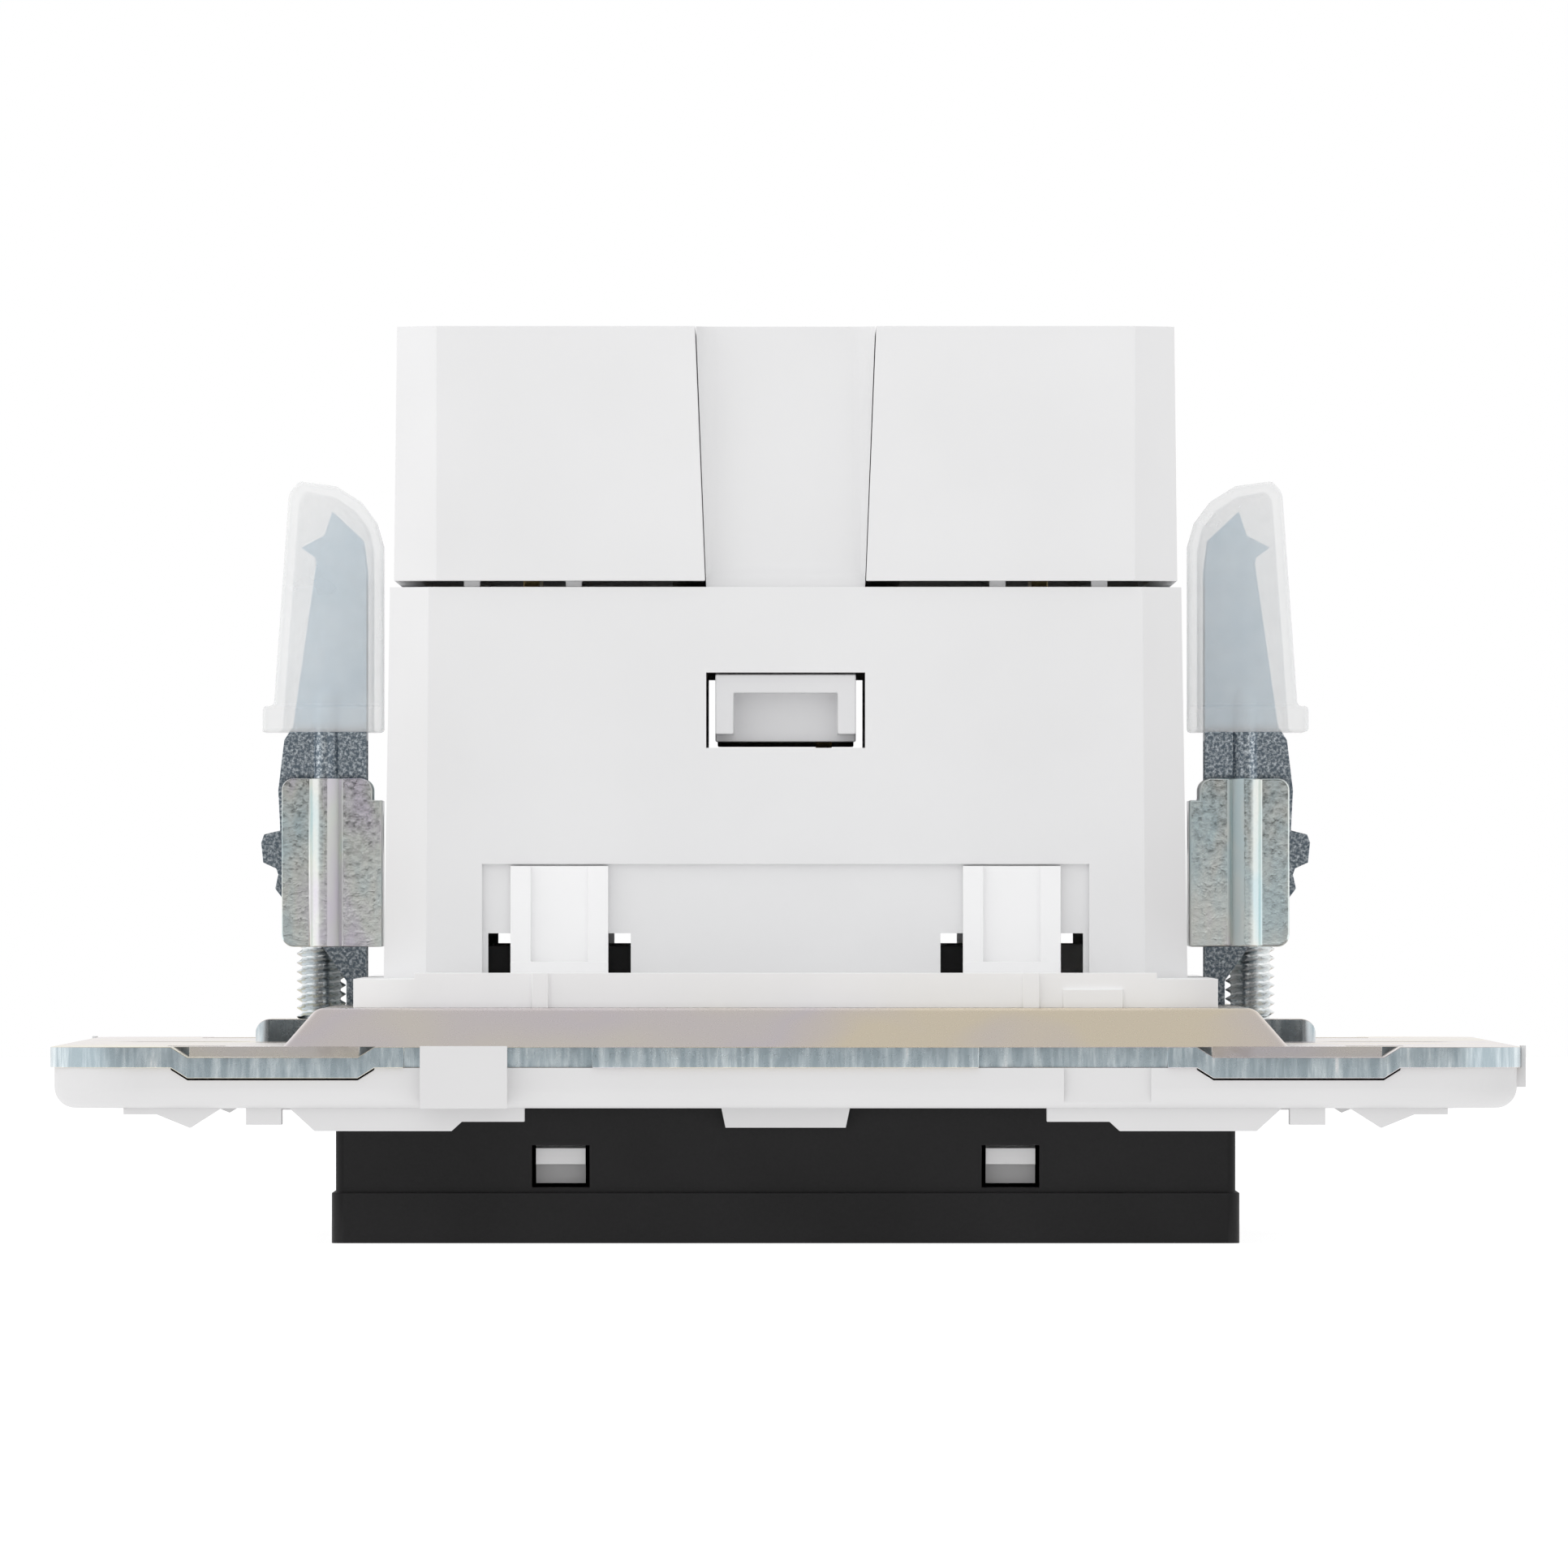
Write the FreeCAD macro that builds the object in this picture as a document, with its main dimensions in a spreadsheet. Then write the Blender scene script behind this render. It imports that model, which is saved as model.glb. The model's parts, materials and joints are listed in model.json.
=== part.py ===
import FreeCAD, Part
import math
import os
import Sketcher
from FreeCAD import Rotation, Vector

# Flush-mounted duplex socket outlet for a single wall box, with spreading claws.
#
# Frame: millimetres. The visible front lies in z = 0 and faces -Z, +Z points
# backwards into the wall box, X runs across the outlet and Y along its two sockets.
# Every size below is a cell of the sheet "dims". Each piece is an object of the
# document whose properties are bound to those cells with expressions.

SIZES = [
    # name, value, meaning
    ("plate_wide", 71.0, "mounting plate along X, the pitch of a wall plate"),
    ("plate_long", 106.5, "mounting plate along Y, one and a half pitches"),
    ("plate_thick", 1.0, "steel sheet"),
    ("plate_front", 8.55, "height of the sheet's front face"),
    ("plate_corner", 4.5, "corner radius of the sheet"),
    ("platform_half_x", 22.7, "raised middle, half width at the top"),
    ("platform_half_y", 45.2, "raised middle, half length at the top"),
    ("platform_slope", 1.6, "run of the sloped side of the raised middle"),
    ("platform_round", 0.8, "radius of the raised middle's upper edges"),
    ("dome_rise", 1.15, "boss over a claw screw above the wall face"),
    ("dome_edge", 26.4, "outer edge of that boss from the middle"),
    ("dome_half_y", 5.2, "half length of that boss"),
    ("dome_round", 0.7, "radius of that boss's outer edges"),
    ("dome_inside", 3.0, "inner end of that boss from its screw"),
    ("tab_inner", 20.6, "lowered edge tab, inner end"),
    ("tab_outer", 28.8, "lowered edge tab, outer end"),
    ("tab_deep", 5.4, "lowered edge tab, width of the strip"),
    ("tab_drop", 0.5, "lowering of that tab towards the front"),
    ("tab_slope", 0.8, "run of the bend round that tab"),
    ("ear_in", 27.2, "slot in the plate's ear, inner end"),
    ("ear_out", 30.0, "slot in the plate's ear, outer end"),
    ("ear_from", 14.0, "slot in the plate's ear, start from the short edge"),
    ("ear_to", 9.0, "slot in the plate's ear, end from the short edge"),
    ("waist_inner", 9.3, "shallow notch of the plate's short edges, inner end"),
    ("waist_outer", 18.4, "shallow notch of the plate's short edges, outer end"),
    ("waist_deep", 0.9, "depth of that notch"),
    ("box_screw_pitch", 60.0, "wall box screws, centre to centre"),
    ("box_slot_long", 7.0, "slot for a box screw, end to end"),
    ("box_slot_wide", 4.2, "slot for a box screw, width"),
    ("frame_thick", 1.95, "plastic support frame"),
    ("frame_inset", 0.2, "support frame inside the plate's outline"),
    ("frame_corner", 4.0, "support frame corner radius"),
    ("frame_round", 1.0, "radius of the support frame's outer front edge"),
    ("frame_fit", 0.1, "gap between the support frame and what it holds"),
    ("relief_from", 5.2, "blocks on the frame's front, inner end from the short edge"),
    ("bar_in", 14.9, "long block on the frame's front, inner end"),
    ("bar_out", 23.9, "long block, outer end"),
    ("bar_slope", 1.2, "run of the long block's sloped ends"),
    ("bar_high", 1.1, "long block above the frame's front"),
    ("step_in", 12.6, "low step beside the long block, inner end"),
    ("step_high", 0.65, "low step above the frame's front"),
    ("peg_in", 24.3, "peg beside the long block, inner end"),
    ("peg_out", 26.0, "peg, outer end"),
    ("peg_high", 0.8, "peg above the frame's front"),
    ("wedge_in", 27.2, "wedge near the frame's corner, inner end"),
    ("wedge_peak", 28.7, "wedge, highest place"),
    ("wedge_out", 31.9, "wedge, outer end"),
    ("wedge_high", 0.95, "wedge at its peak"),
    ("wedge_low", 0.3, "flat end of the wedge"),
    ("lug_half", 3.1, "middle lug, half width"),
    ("lug_high", 0.95, "middle lug above the frame's front"),
    ("clip_in", 13.4, "clip over the plate's short edge, inner end"),
    ("clip_out", 17.6, "clip, outer end"),
    ("clip_thick", 0.8, "clip outside the plate's edge"),
    ("facet_deep", 0.3, "shallow facet opposite the clip"),
    ("side_tab_from", 7.0, "thin tab on the long edge, start from the short edge"),
    ("side_tab_to", 4.5, "thin tab, end from the short edge"),
    ("side_tab_thick", 0.25, "thin tab outside the plate's edge"),
    ("flange_wide", 44.0, "front cover flange along X"),
    ("flange_long", 87.8, "front cover flange along Y"),
    ("flange_high", 2.45, "front cover flange"),
    ("flange_lip", 0.2, "flange beyond the skirt"),
    ("skirt_top", 7.55, "height of the cover's skirt"),
    ("cover_wall", 1.5, "skirt and front wall"),
    ("cup_pitch", 42.6, "socket to socket"),
    ("cup_radius", 19.6, "plug recess"),
    ("cup_wall", 1.2, "wall of the plug recess"),
    ("cup_deep", 10.0, "depth of the plug recess"),
    ("cup_floor", 1.3, "floor of the plug recess"),
    ("cover_seat", 0.1, "gap between the recess floor and the base"),
    ("pin_pitch", 19.0, "plug pins, centre to centre"),
    ("pin_hole", 2.65, "radius of a pin hole"),
    ("window_at", 10.9, "snap window of the cover from the middle"),
    ("window_wide", 2.8, "snap window, width"),
    ("window_low", 2.7, "snap window, lower edge"),
    ("window_high", 2.05, "snap window, height"),
    ("base_wide", 42.0, "base flange along X"),
    ("base_long", 87.0, "base flange along Y"),
    ("base_thick", 1.4, "base flange"),
    ("base_corner", 3.0, "base flange corner radius"),
    ("rail_wide", 1.2, "rail on the base's short end, along Y"),
    ("rail_high", 0.3, "that rail's height"),
    ("end_rib_at", 11.9, "small rib on the base's short end, from the middle"),
    ("end_rib_wide", 0.8, "that rib's width"),
    ("end_rib_out", 0.25, "that rib outside the base's short end"),
    ("tile_out", 0.15, "tile outside the base's short end"),
    ("tile_at", 14.9, "flat tile on the base's short end, from the middle"),
    ("tile_wide", 2.9, "that tile's width"),
    ("tile_high", 0.9, "that tile's height"),
    ("housing_wide", 39.5, "housing along X at its foot"),
    ("housing_long", 52.0, "housing along Y"),
    ("housing_high", 19.2, "housing above the base"),
    ("housing_wall", 1.1, "housing wall"),
    ("housing_chamfer", 2.1, "vertical corners of the housing"),
    ("cavity_chamfer", 0.5, "vertical corners inside the housing"),
    ("housing_draft", 0.9, "taper of the housing's outside, in degrees"),
    ("panel_half", 14.9, "shallow panel at the foot of the housing, half width"),
    ("panel_high", 5.6, "that panel's height"),
    ("panel_deep", 0.4, "that panel's depth"),
    ("arm_at", 11.1, "snap arm of the base from the middle"),
    ("arm_wide", 4.8, "snap arm, width"),
    ("arm_rib", 1.0, "width of the rib along each side of a snap arm"),
    ("arm_out", 0.75, "rib outside the panel's face"),
    ("arm_web", 0.35, "web between those ribs"),
    ("arm_foot", 0.9, "foot bar of a snap arm outside the panel's face"),
    ("arm_foot_high", 0.8, "height of that foot bar"),
    ("arm_slot", 1.1, "open slot beside a snap arm"),
    ("arm_slot_high", 2.2, "height of that slot"),
    ("latch_hang", 5.2, "lower edge of the latch window below the contact carrier"),
    ("latch_high", 3.7, "latch window, height"),
    ("latch_half", 3.9, "latch window, half width"),
    ("seam", 0.3, "gap under the terminal covers"),
    ("block_high", 12.5, "terminal cover"),
    ("block_edge", 19.25, "terminal cover, outer face from the middle at its foot"),
    ("block_inner", 3.95, "terminal cover, inner face from the middle at its foot"),
    ("block_taper", 0.5, "lean of the terminal cover's inner face over its height"),
    ("block_lean", 0.15, "lean of the terminal cover's outer face over its height"),
    ("block_wall", 1.2, "terminal cover wall"),
    ("pad_near", 10.4, "small foot of a terminal cover, from the middle"),
    ("pad_far", 15.4, "second small foot, from the middle"),
    ("pad_wide", 0.8, "width of those feet"),
    ("spine_gap", 0.05, "gap between the spine and a terminal cover"),
    ("spine_recess", 1.6, "spine's end face behind the housing's end face"),
    ("spine_set", 0.4, "edges of the spine's end behind the housing's end face"),
    ("spine_round", 1.15, "hollow round along the sides and foot of the spine's end"),
    ("wire_seat", 0.2, "gap between a release button and its busbar"),
    ("wire_spread", 8.0, "wire entries from the release button"),
    ("wire_hole", 1.9, "radius of a wire entry"),
    ("button_wide", 3.6, "release button along X"),
    ("button_long", 4.0, "release button along Y"),
    ("button_high", 6.0, "release button below the cover's roof"),
    ("button_sunk", 0.2, "release button below the roof's outside"),
    ("button_collar", 1.0, "collar of a release button"),
    ("button_slit", 0.8, "screwdriver slit of a release button"),
    ("button_travel", 1.5, "travel of a release button"),
    ("button_gap", 0.3, "clearance round a release button"),
    ("seat", 0.1, "gap between fixed inner pieces"),
    ("metal", 0.8, "contact strip"),
    ("contact_bore", 2.3, "inside radius of a socket contact"),
    ("contact_wall", 0.4, "wall of a socket contact"),
    ("contact_slit", 0.8, "slits of a socket contact"),
    ("contact_lift", 0.8, "contact's mouth above the shutters"),
    ("contact_short", 1.1, "contact's upper end below the contact carrier"),
    ("bar_wide", 5.2, "part of a busbar along the contacts, along Z"),
    ("bus_short", 1.6, "upper edge of a busbar below the terminal cover's roof"),
    ("bus_riser_half", 11.0, "half length of the part of a busbar that the wires meet"),
    ("spring_sheet", 0.4, "clamp spring sheet"),
    ("spring_wide", 5.0, "clamp spring along Y"),
    ("spring_short", 0.6, "clamp spring's upper end below the busbar's"),
    ("spring_turn", 1.1, "bend of a clamp spring from its standing leg"),
    ("spring_rise", 3.6, "free end of a clamp spring above its bend"),
    ("earth_half", 2.6, "half width of the earth strap"),
    ("riser_at", 1.5, "near face of the earth riser from the middle"),
    ("riser_half", 2.0, "half length of the earth riser's neck"),
    ("finger_sheet", 0.6, "earth finger"),
    ("finger_low", 2.6, "free end of an earth finger"),
    ("finger_bump", 1.4, "how far an earth finger reaches into the recess"),
    ("finger_rise", 2.0, "height of that bump's middle above the finger's end"),
    ("shutter_thick", 1.5, "shutter"),
    ("shutter_long", 6.0, "shutter along Y"),
    ("shutter_rim", 0.5, "shutter beyond the holes that it covers"),
    ("shutter_travel", 5.4, "travel of a shutter"),
    ("shutter_gap", 0.15, "clearance round a shutter"),
    ("coil_radius", 0.9, "shutter spring, outside radius"),
    ("coil_wire", 0.2, "shutter spring, radius of its wire"),
    ("coil_turns", 9.0, "turns of a shutter spring"),
    ("guide_wide", 1.0, "guide rib beside a shutter"),
    ("guide_inset", 2.9, "end of a guide rib inside the housing's face"),
    ("post_wide", 0.9, "post at a shutter spring's fixed end"),
    ("horn_long", 2.0, "horn of a shutter along Y"),
    ("carrier_gap", 0.3, "gap between the carrier and the housing's roof"),
    ("carrier_thick", 1.3, "contact carrier"),
    ("carrier_gap_x", 1.2, "gap between the carrier and the housing's long walls"),
    ("carrier_gap_y", 0.5, "gap between the carrier and the housing's short walls"),
    ("latch_leg", 0.9, "legs and bar of the carrier's latch"),
    ("latch_gap", 0.45, "gap beside the latch in its window"),
    ("rivet_x", 17.6, "rivet from the middle along X"),
    ("rivet_y", 40.4, "rivet from the middle along Y"),
    ("rivet_shank", 1.2, "rivet shank radius"),
    ("rivet_head", 2.0, "rivet head radius"),
    ("rivet_head_high", 0.6, "rivet head, sunk in the base flange"),
    ("screw_at", 23.2, "claw screw from the middle"),
    ("screw_shank", 1.24, "claw screw thread radius"),
    ("screw_head", 2.1, "claw screw head radius"),
    ("screw_head_high", 1.7, "claw screw head"),
    ("cross_long", 2.6, "cross slot in the head, length"),
    ("cross_wide", 0.6, "cross slot, width"),
    ("cross_deep", 1.0, "cross slot, depth"),
    ("screw_tip", 24.0, "upper end of a claw screw"),
    ("running", 0.08, "radial clearance of the screw in its holes"),
    ("cage_low", 14.3, "claw cage, lower edge"),
    ("cage_high", 8.4, "claw cage, height"),
    ("cage_inner", 20.1, "claw cage, inner face from the middle"),
    ("cage_web", 0.5, "claw cage, sheet of its inner web"),
    ("cage_step", 1.1, "cage's inner web below its sides"),
    ("cage_round", 0.6, "corner radius of the cage's sides"),
    ("cage_outer", 25.1, "claw cage, outer edge from the middle"),
    ("cage_half_y", 4.5, "claw cage, half length"),
    ("cage_sheet", 0.8, "claw cage sheet"),
    ("bead_radius", 0.85, "bead along the cage's side"),
    ("bead_at", 22.9, "bead from the middle"),
    ("bead_sunk", 0.3, "bead's axis inside the cage's face"),
    ("nut_high", 2.0, "claw nut"),
    ("nut_wide", 3.4, "claw nut along X"),
    ("nut_at", 3.7, "middle of the claw nut above the cage's lower edge"),
    ("nut_travel", 2.25, "way of the nut and cage over five turns of the screw"),
    ("blade_tilt", 8.0, "tilt of a claw blade over that way, in degrees"),
    ("trunnion", 0.55, "radius of the nut's trunnions"),
    ("cam_clear", 0.15, "clearance of a trunnion in the blade's slot"),
    ("blade_inner", 20.9, "claw blade, inner edge from the middle"),
    ("blade_half_y", 3.2, "claw blade, half length"),
    ("blade_sheet", 0.8, "claw blade sheet"),
    ("blade_web_low", 24.6, "lower edge of the blade's web"),
    ("blade_tip", 36.0, "claw blade's tip"),
    ("blade_rib", 0.65, "radius of the stiffening rib of a blade plate"),
    ("blade_rib_out", 0.4, "that rib outside the blade plate"),
    ("blade_rib_low", 20.5, "lower end of that rib"),
    ("blade_rib_top", 27.3, "round upper end of that rib"),
    ("foot_wide", 1.0, "neck of the claw blade in its slot"),
    ("foot_lobe", 0.65, "radius of the lobe on which the blade turns"),
    ("foot_clear", 0.08, "clearance of that lobe in its slot"),
    ("slot_clear", 0.25, "clearance of a formed piece in its opening"),
    ("sleeve_low", 25.0, "claw sleeve, open end"),
    ("sleeve_top", 37.5, "claw sleeve, closed end"),
    ("sleeve_inner", 20.1, "claw sleeve, inner face from the middle"),
    ("sleeve_outer", 25.6, "claw sleeve, outer face at its lip"),
    ("sleeve_lean", 0.85, "lean of the sleeve's outer face"),
    ("sleeve_half_y", 4.5, "claw sleeve, half length"),
    ("sleeve_wall", 0.5, "claw sleeve wall"),
    ("lip_out", 0.45, "lip of the claw sleeve"),
    ("lip_high", 1.3, "height of that lip"),
]

doc = FreeCAD.newDocument("duplex_outlet")
sheet = doc.addObject("Spreadsheet::Sheet", "dims")


class Size:
    """A length worked out from the sheet: its expression text and its present value."""

    def __init__(self, text, value):
        self.text = text
        self.value = value

    def join(self, sign, other, value):
        return Size(f"({self.text} {sign} {other.text})", value)

    def __add__(self, other):
        other = size(other)
        return self.join("+", other, self.value + other.value)

    def __sub__(self, other):
        other = size(other)
        return self.join("-", other, self.value - other.value)

    def __mul__(self, other):
        other = size(other)
        return self.join("*", other, self.value * other.value)

    def __truediv__(self, other):
        other = size(other)
        return self.join("/", other, self.value / other.value)

    def __rsub__(self, other):
        return size(other) - self

    def __neg__(self):
        return size(0.0) - self

    __radd__ = __add__
    __rmul__ = __mul__


def size(value):
    """A plain number as a Size, or a Size as it is."""
    if isinstance(value, Size):
        return value
    return Size(f"{value:.6g}", float(value))


def read_sheet():
    """Write the sheet and return its cells as Sizes."""
    cells = {}
    for row, (name, value, meaning) in enumerate(SIZES, start=1):
        sheet.set(f"A{row}", meaning)
        sheet.set(f"B{row}", str(value))
        sheet.setAlias(f"B{row}", name)
        cells[name] = Size(f"dims.{name}", value)
    doc.recompute()
    return cells


D = read_sheet()


def bind(thing, **sizes):
    """Bind properties to sizes; two underscores in a name stand for a dot."""
    for name, value in sizes.items():
        thing.setExpression(name.replace("__", "."), size(value).text)


def add(kind, name):
    """A new object; the document numbers repeated names."""
    return doc.addObject(kind, name)


def box(name, x, y, z):
    """A block between two corners, each side given as (low, high)."""
    block = add("Part::Box", name)
    low = [size(side[0]) for side in (x, y, z)]
    bind(block, Length=size(x[1]) - low[0], Width=size(y[1]) - low[1], Height=size(z[1]) - low[2],
         Placement__Base__x=low[0], Placement__Base__y=low[1], Placement__Base__z=low[2])
    return block


UPRIGHT = Rotation(0, 0, 0)
ALONG_X = Rotation(Vector(0, 1, 0), 90)
ALONG_Y = Rotation(Vector(1, 0, 0), -90)


def rod(name, radius, start, length, turn=UPRIGHT):
    """A cylinder from its start point (x, y, z) along its own axis."""
    bar = add("Part::Cylinder", name)
    bar.Placement = FreeCAD.Placement(Vector(), turn)
    bind(bar, Radius=radius, Height=length, Placement__Base__x=start[0],
         Placement__Base__y=start[1], Placement__Base__z=start[2])
    return bar


def ball(name, radius, place):
    """A sphere about a place (x, y, z)."""
    round_end = add("Part::Sphere", name)
    bind(round_end, Radius=radius, Placement__Base__x=place[0], Placement__Base__y=place[1],
         Placement__Base__z=place[2])
    return round_end


def fuse(name, *things):
    """Several touching things as one."""
    if len(things) == 1:
        return things[0]
    whole = add("Part::MultiFuse", name)
    whole.Shapes = list(things)
    whole.Refine = True
    return whole


def cut(name, base, *tools):
    """The base without the tools."""
    rest = add("Part::Cut", name)
    rest.Base = base
    rest.Tool = fuse(name + "_tools", *tools)
    rest.Refine = True
    return rest


def common(name, one, other):
    """What two things share."""
    shared = add("Part::Common", name)
    shared.Base = one
    shared.Tool = other
    shared.Refine = True
    return shared


PLANES = {"XY": "XY_Plane", "XZ": "XZ_Plane", "YZ": "YZ_Plane"}


def pad(name, plane, corners, low, high, taper=None):
    """A polygon of (across, up) corners on a plane, padded from low to high."""
    body = add("PartDesign::Body", name)
    sketch = body.newObject("Sketcher::SketchObject", name + "_outline")
    ground = [item for item in body.Origin.OriginFeatures if item.Role == PLANES[plane]][0]
    sketch.AttachmentSupport = [(ground, "")]
    sketch.MapMode = "FlatFace"
    low, high = size(low), size(high)
    # The XZ plane faces -Y, so its pad starts at the high end.
    bind(sketch, AttachmentOffset__Base__z=-high if plane == "XZ" else low)
    points = [(size(across), size(up)) for across, up in corners]
    count = len(points)
    for index, (across, up) in enumerate(points):
        after = points[(index + 1) % count]
        line = Part.LineSegment(Vector(across.value, up.value, 0), Vector(after[0].value, after[1].value, 0))
        sketch.addGeometry(line, False)
    sketch.addConstraint([Sketcher.Constraint("Coincident", index, 2, (index + 1) % count, 1)
                          for index in range(count)])
    for index, (across, up) in enumerate(points):
        for direction, place in (("DistanceX", across), ("DistanceY", up)):
            number = sketch.addConstraint(Sketcher.Constraint(direction, index, 1, place.value))
            sketch.setExpression(f"Constraints[{number}]", place.text)
    solid = body.newObject("PartDesign::Pad", name + "_pad")
    solid.Profile = sketch
    bind(solid, Length=high - low)
    if taper is not None:
        bind(solid, TaperAngle=taper)
    return body


def chamfered(half_x, half_y, corner):
    """Outline of a rectangle with its four corners cut off."""
    return [(half_x, corner - half_y), (half_x, half_y - corner), (half_x - corner, half_y),
            (corner - half_x, half_y), (-half_x, half_y - corner), (-half_x, corner - half_y),
            (corner - half_x, -half_y), (half_x - corner, -half_y)]


def rounded(name, half_x, half_y, radius, low, high):
    """A plate with four round corners."""
    posts = [rod(name + "_corner", radius, (x, y, low), high - low)
             for x in (half_x - radius, radius - half_x) for y in (half_y - radius, radius - half_y)]
    long = box(name + "_long", (-half_x, half_x), (radius - half_y, half_y - radius), (low, high))
    wide = box(name + "_wide", (radius - half_x, half_x - radius), (-half_y, half_y), (low, high))
    return fuse(name, long, wide, *posts)


def rounded_sheet(name, x, y, z, radius):
    """A sheet in XZ with four round corners; each side is given as (low, high)."""
    posts = [rod(name + "_corner", radius, (across, y[0], up), y[1] - y[0], ALONG_Y)
             for across in (x[0] + radius, x[1] - radius) for up in (z[0] + radius, z[1] - radius)]
    tall = box(name + "_tall", (x[0] + radius, x[1] - radius), y, z)
    wide = box(name + "_wide", x, y, (z[0] + radius, z[1] - radius))
    return fuse(name, tall, wide, *posts)


def filleted(name, base, radius, wanted):
    """Round those edges of a shape whose middles pass the test."""
    doc.recompute()
    soft = add("Part::Fillet", name)
    soft.Base = base
    soft.Edges = [(number, radius.value, radius.value)
                  for number, edge in enumerate(base.Shape.Edges, start=1) if wanted(edge.CenterOfMass)]
    return soft


def at_level(level):
    """A test for points at a height."""
    return lambda point: abs(point.z - level.value) < 1e-6


def span(middle, width):
    """(low, high) of a width about a middle."""
    return size(middle) - size(width) / 2, size(middle) + size(width) / 2


def mirrored_span(near, far, side):
    """(low, high) between two distances from the middle, on side +1 or -1."""
    return (size(near), size(far)) if side > 0 else (-size(far), -size(near))


nodes = {}


def node(name, thing):
    """Name a finished piece."""
    thing.Label = name
    nodes[name] = thing
    return thing


def group(name, things):
    """Separate solids kept as one node."""
    several = add("Part::Compound", name + "_group")
    several.Links = list(things)
    return node(name, several)


SIDES = (-1, 1)
CLEAR = 1.0     # how far a cutting tool runs past the face it cuts

# Levels along Z that several pieces share.
wall_face = D["plate_front"] + D["plate_thick"]
frame_front = D["plate_front"] - D["frame_thick"]
cup_back = D["cup_deep"] + D["cup_floor"]
platform_top = cup_back + D["cover_seat"]
platform_rise = platform_top - wall_face
base_top = platform_top + D["base_thick"]
housing_top = base_top + D["housing_high"]
block_low = housing_top + D["seam"]
back = block_low + D["block_high"]
dome_top = wall_face + D["dome_rise"]
dome_under = dome_top - D["plate_thick"]
button_low = back - D["block_wall"] - D["button_high"]
nut_middle = D["cage_low"] + D["nut_at"]
pivot_z = dome_under + D["plate_thick"] / 2
shutter_low = base_top + D["seat"]
shutter_top = shutter_low + D["shutter_thick"]
spring_low = shutter_top + D["shutter_gap"]
carrier_low = housing_top - D["housing_wall"] - D["carrier_gap"] - D["carrier_thick"]
contact_low = shutter_top + D["contact_lift"]
contact_top = carrier_low - D["contact_short"]
bus_low = contact_top - D["bar_wide"]
bus_top = back - D["block_wall"] - D["bus_short"]
latch_low = carrier_low - D["latch_hang"]
strap_low = platform_top + D["seat"]

# Shared places.
half_long = D["plate_long"] / 2
half_wide = D["plate_wide"] / 2
cup_y = D["cup_pitch"] / 2
pin_x = D["pin_pitch"] / 2
bus_inner = pin_x + D["contact_bore"] + D["contact_wall"]
wire_at = bus_inner - D["button_wide"] / 2 - D["wire_seat"]
coil_half = pin_x - D["contact_bore"] - D["contact_wall"] - D["slot_clear"] - D["post_wide"] - D["seat"] / 2
cup_outer = D["cup_radius"] + D["cup_wall"]
skirt_x = D["flange_wide"] / 2 - D["flange_lip"]
skirt_y = D["flange_long"] / 2 - D["flange_lip"]
house_x = D["housing_wide"] / 2
house_y = D["housing_long"] / 2
window_top = D["window_low"] + D["window_high"]
housing_inside_y = house_y - D["housing_wall"] - D["panel_deep"]
frame_hole_x = skirt_x + D["flange_lip"] + D["frame_fit"]
frame_hole_y = skirt_y + D["flange_lip"] + D["frame_fit"]
pivot_x = D["blade_inner"] + D["foot_wide"] / 2
dome_start = D["screw_at"] - D["dome_inside"]
earth_reach = cup_y + D["cup_radius"] + D["finger_sheet"] + D["slot_clear"]


def pin_holes(name, radius, low, high):
    """Rods for the four pin holes."""
    return [rod(name, radius, (x, y, low), high - low)
            for x in (-pin_x, pin_x) for y in (-cup_y, cup_y)]


def finger_places():
    """(side, socket, y of the recess wall) of the four earth fingers."""
    for socket in SIDES:
        for side in SIDES:
            yield side, socket, cup_y * socket + D["cup_radius"] * side


def make_front_cover():
    """Flange, skirt and two plug recesses with snap windows."""
    flange = rounded("flange", D["flange_wide"] / 2, D["flange_long"] / 2, D["flange_lip"] * 3,
                     size(0.0), D["flange_high"])
    skirt = rounded("skirt", skirt_x, skirt_y, D["flange_lip"] * 2, D["flange_high"], D["skirt_top"])
    inner_x, inner_y = skirt_x - D["cover_wall"], skirt_y - D["cover_wall"]
    hollow = box("hollow", (-inner_x, inner_x), (-inner_y, inner_y), (D["cover_wall"], D["skirt_top"] + CLEAR))
    shell = cut("shell", fuse("shell_solid", flange, skirt), hollow)
    cups = [rod("cup", cup_outer, (0, cup_y * side, 0), cup_back) for side in SIDES]
    body = fuse("cover_body", shell, *cups)
    tools = [rod("recess", D["cup_radius"], (0, cup_y * side, -CLEAR), D["cup_deep"] + CLEAR) for side in SIDES]
    tools += pin_holes("pin_hole", D["pin_hole"], D["cup_deep"] - CLEAR, cup_back + CLEAR)
    slot_half = D["earth_half"] + D["slot_clear"]
    slot_deep = D["finger_sheet"] + D["slot_clear"] * 2
    for side, _, wall in finger_places():
        ends = (wall - CLEAR, wall + slot_deep) if side > 0 else (wall - slot_deep, wall + CLEAR)
        tools.append(box("finger_slot", (-slot_half, slot_half), ends,
                         (D["finger_low"] - CLEAR, cup_back + CLEAR)))
    for side in SIDES:
        for place in SIDES:
            tools.append(box("snap_window", span(D["window_at"] * place, D["window_wide"]),
                             mirrored_span(inner_y - CLEAR, skirt_y + CLEAR, side),
                             (D["window_low"], window_top)))
    return node("front_cover", cut("cover", body, *tools))


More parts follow.
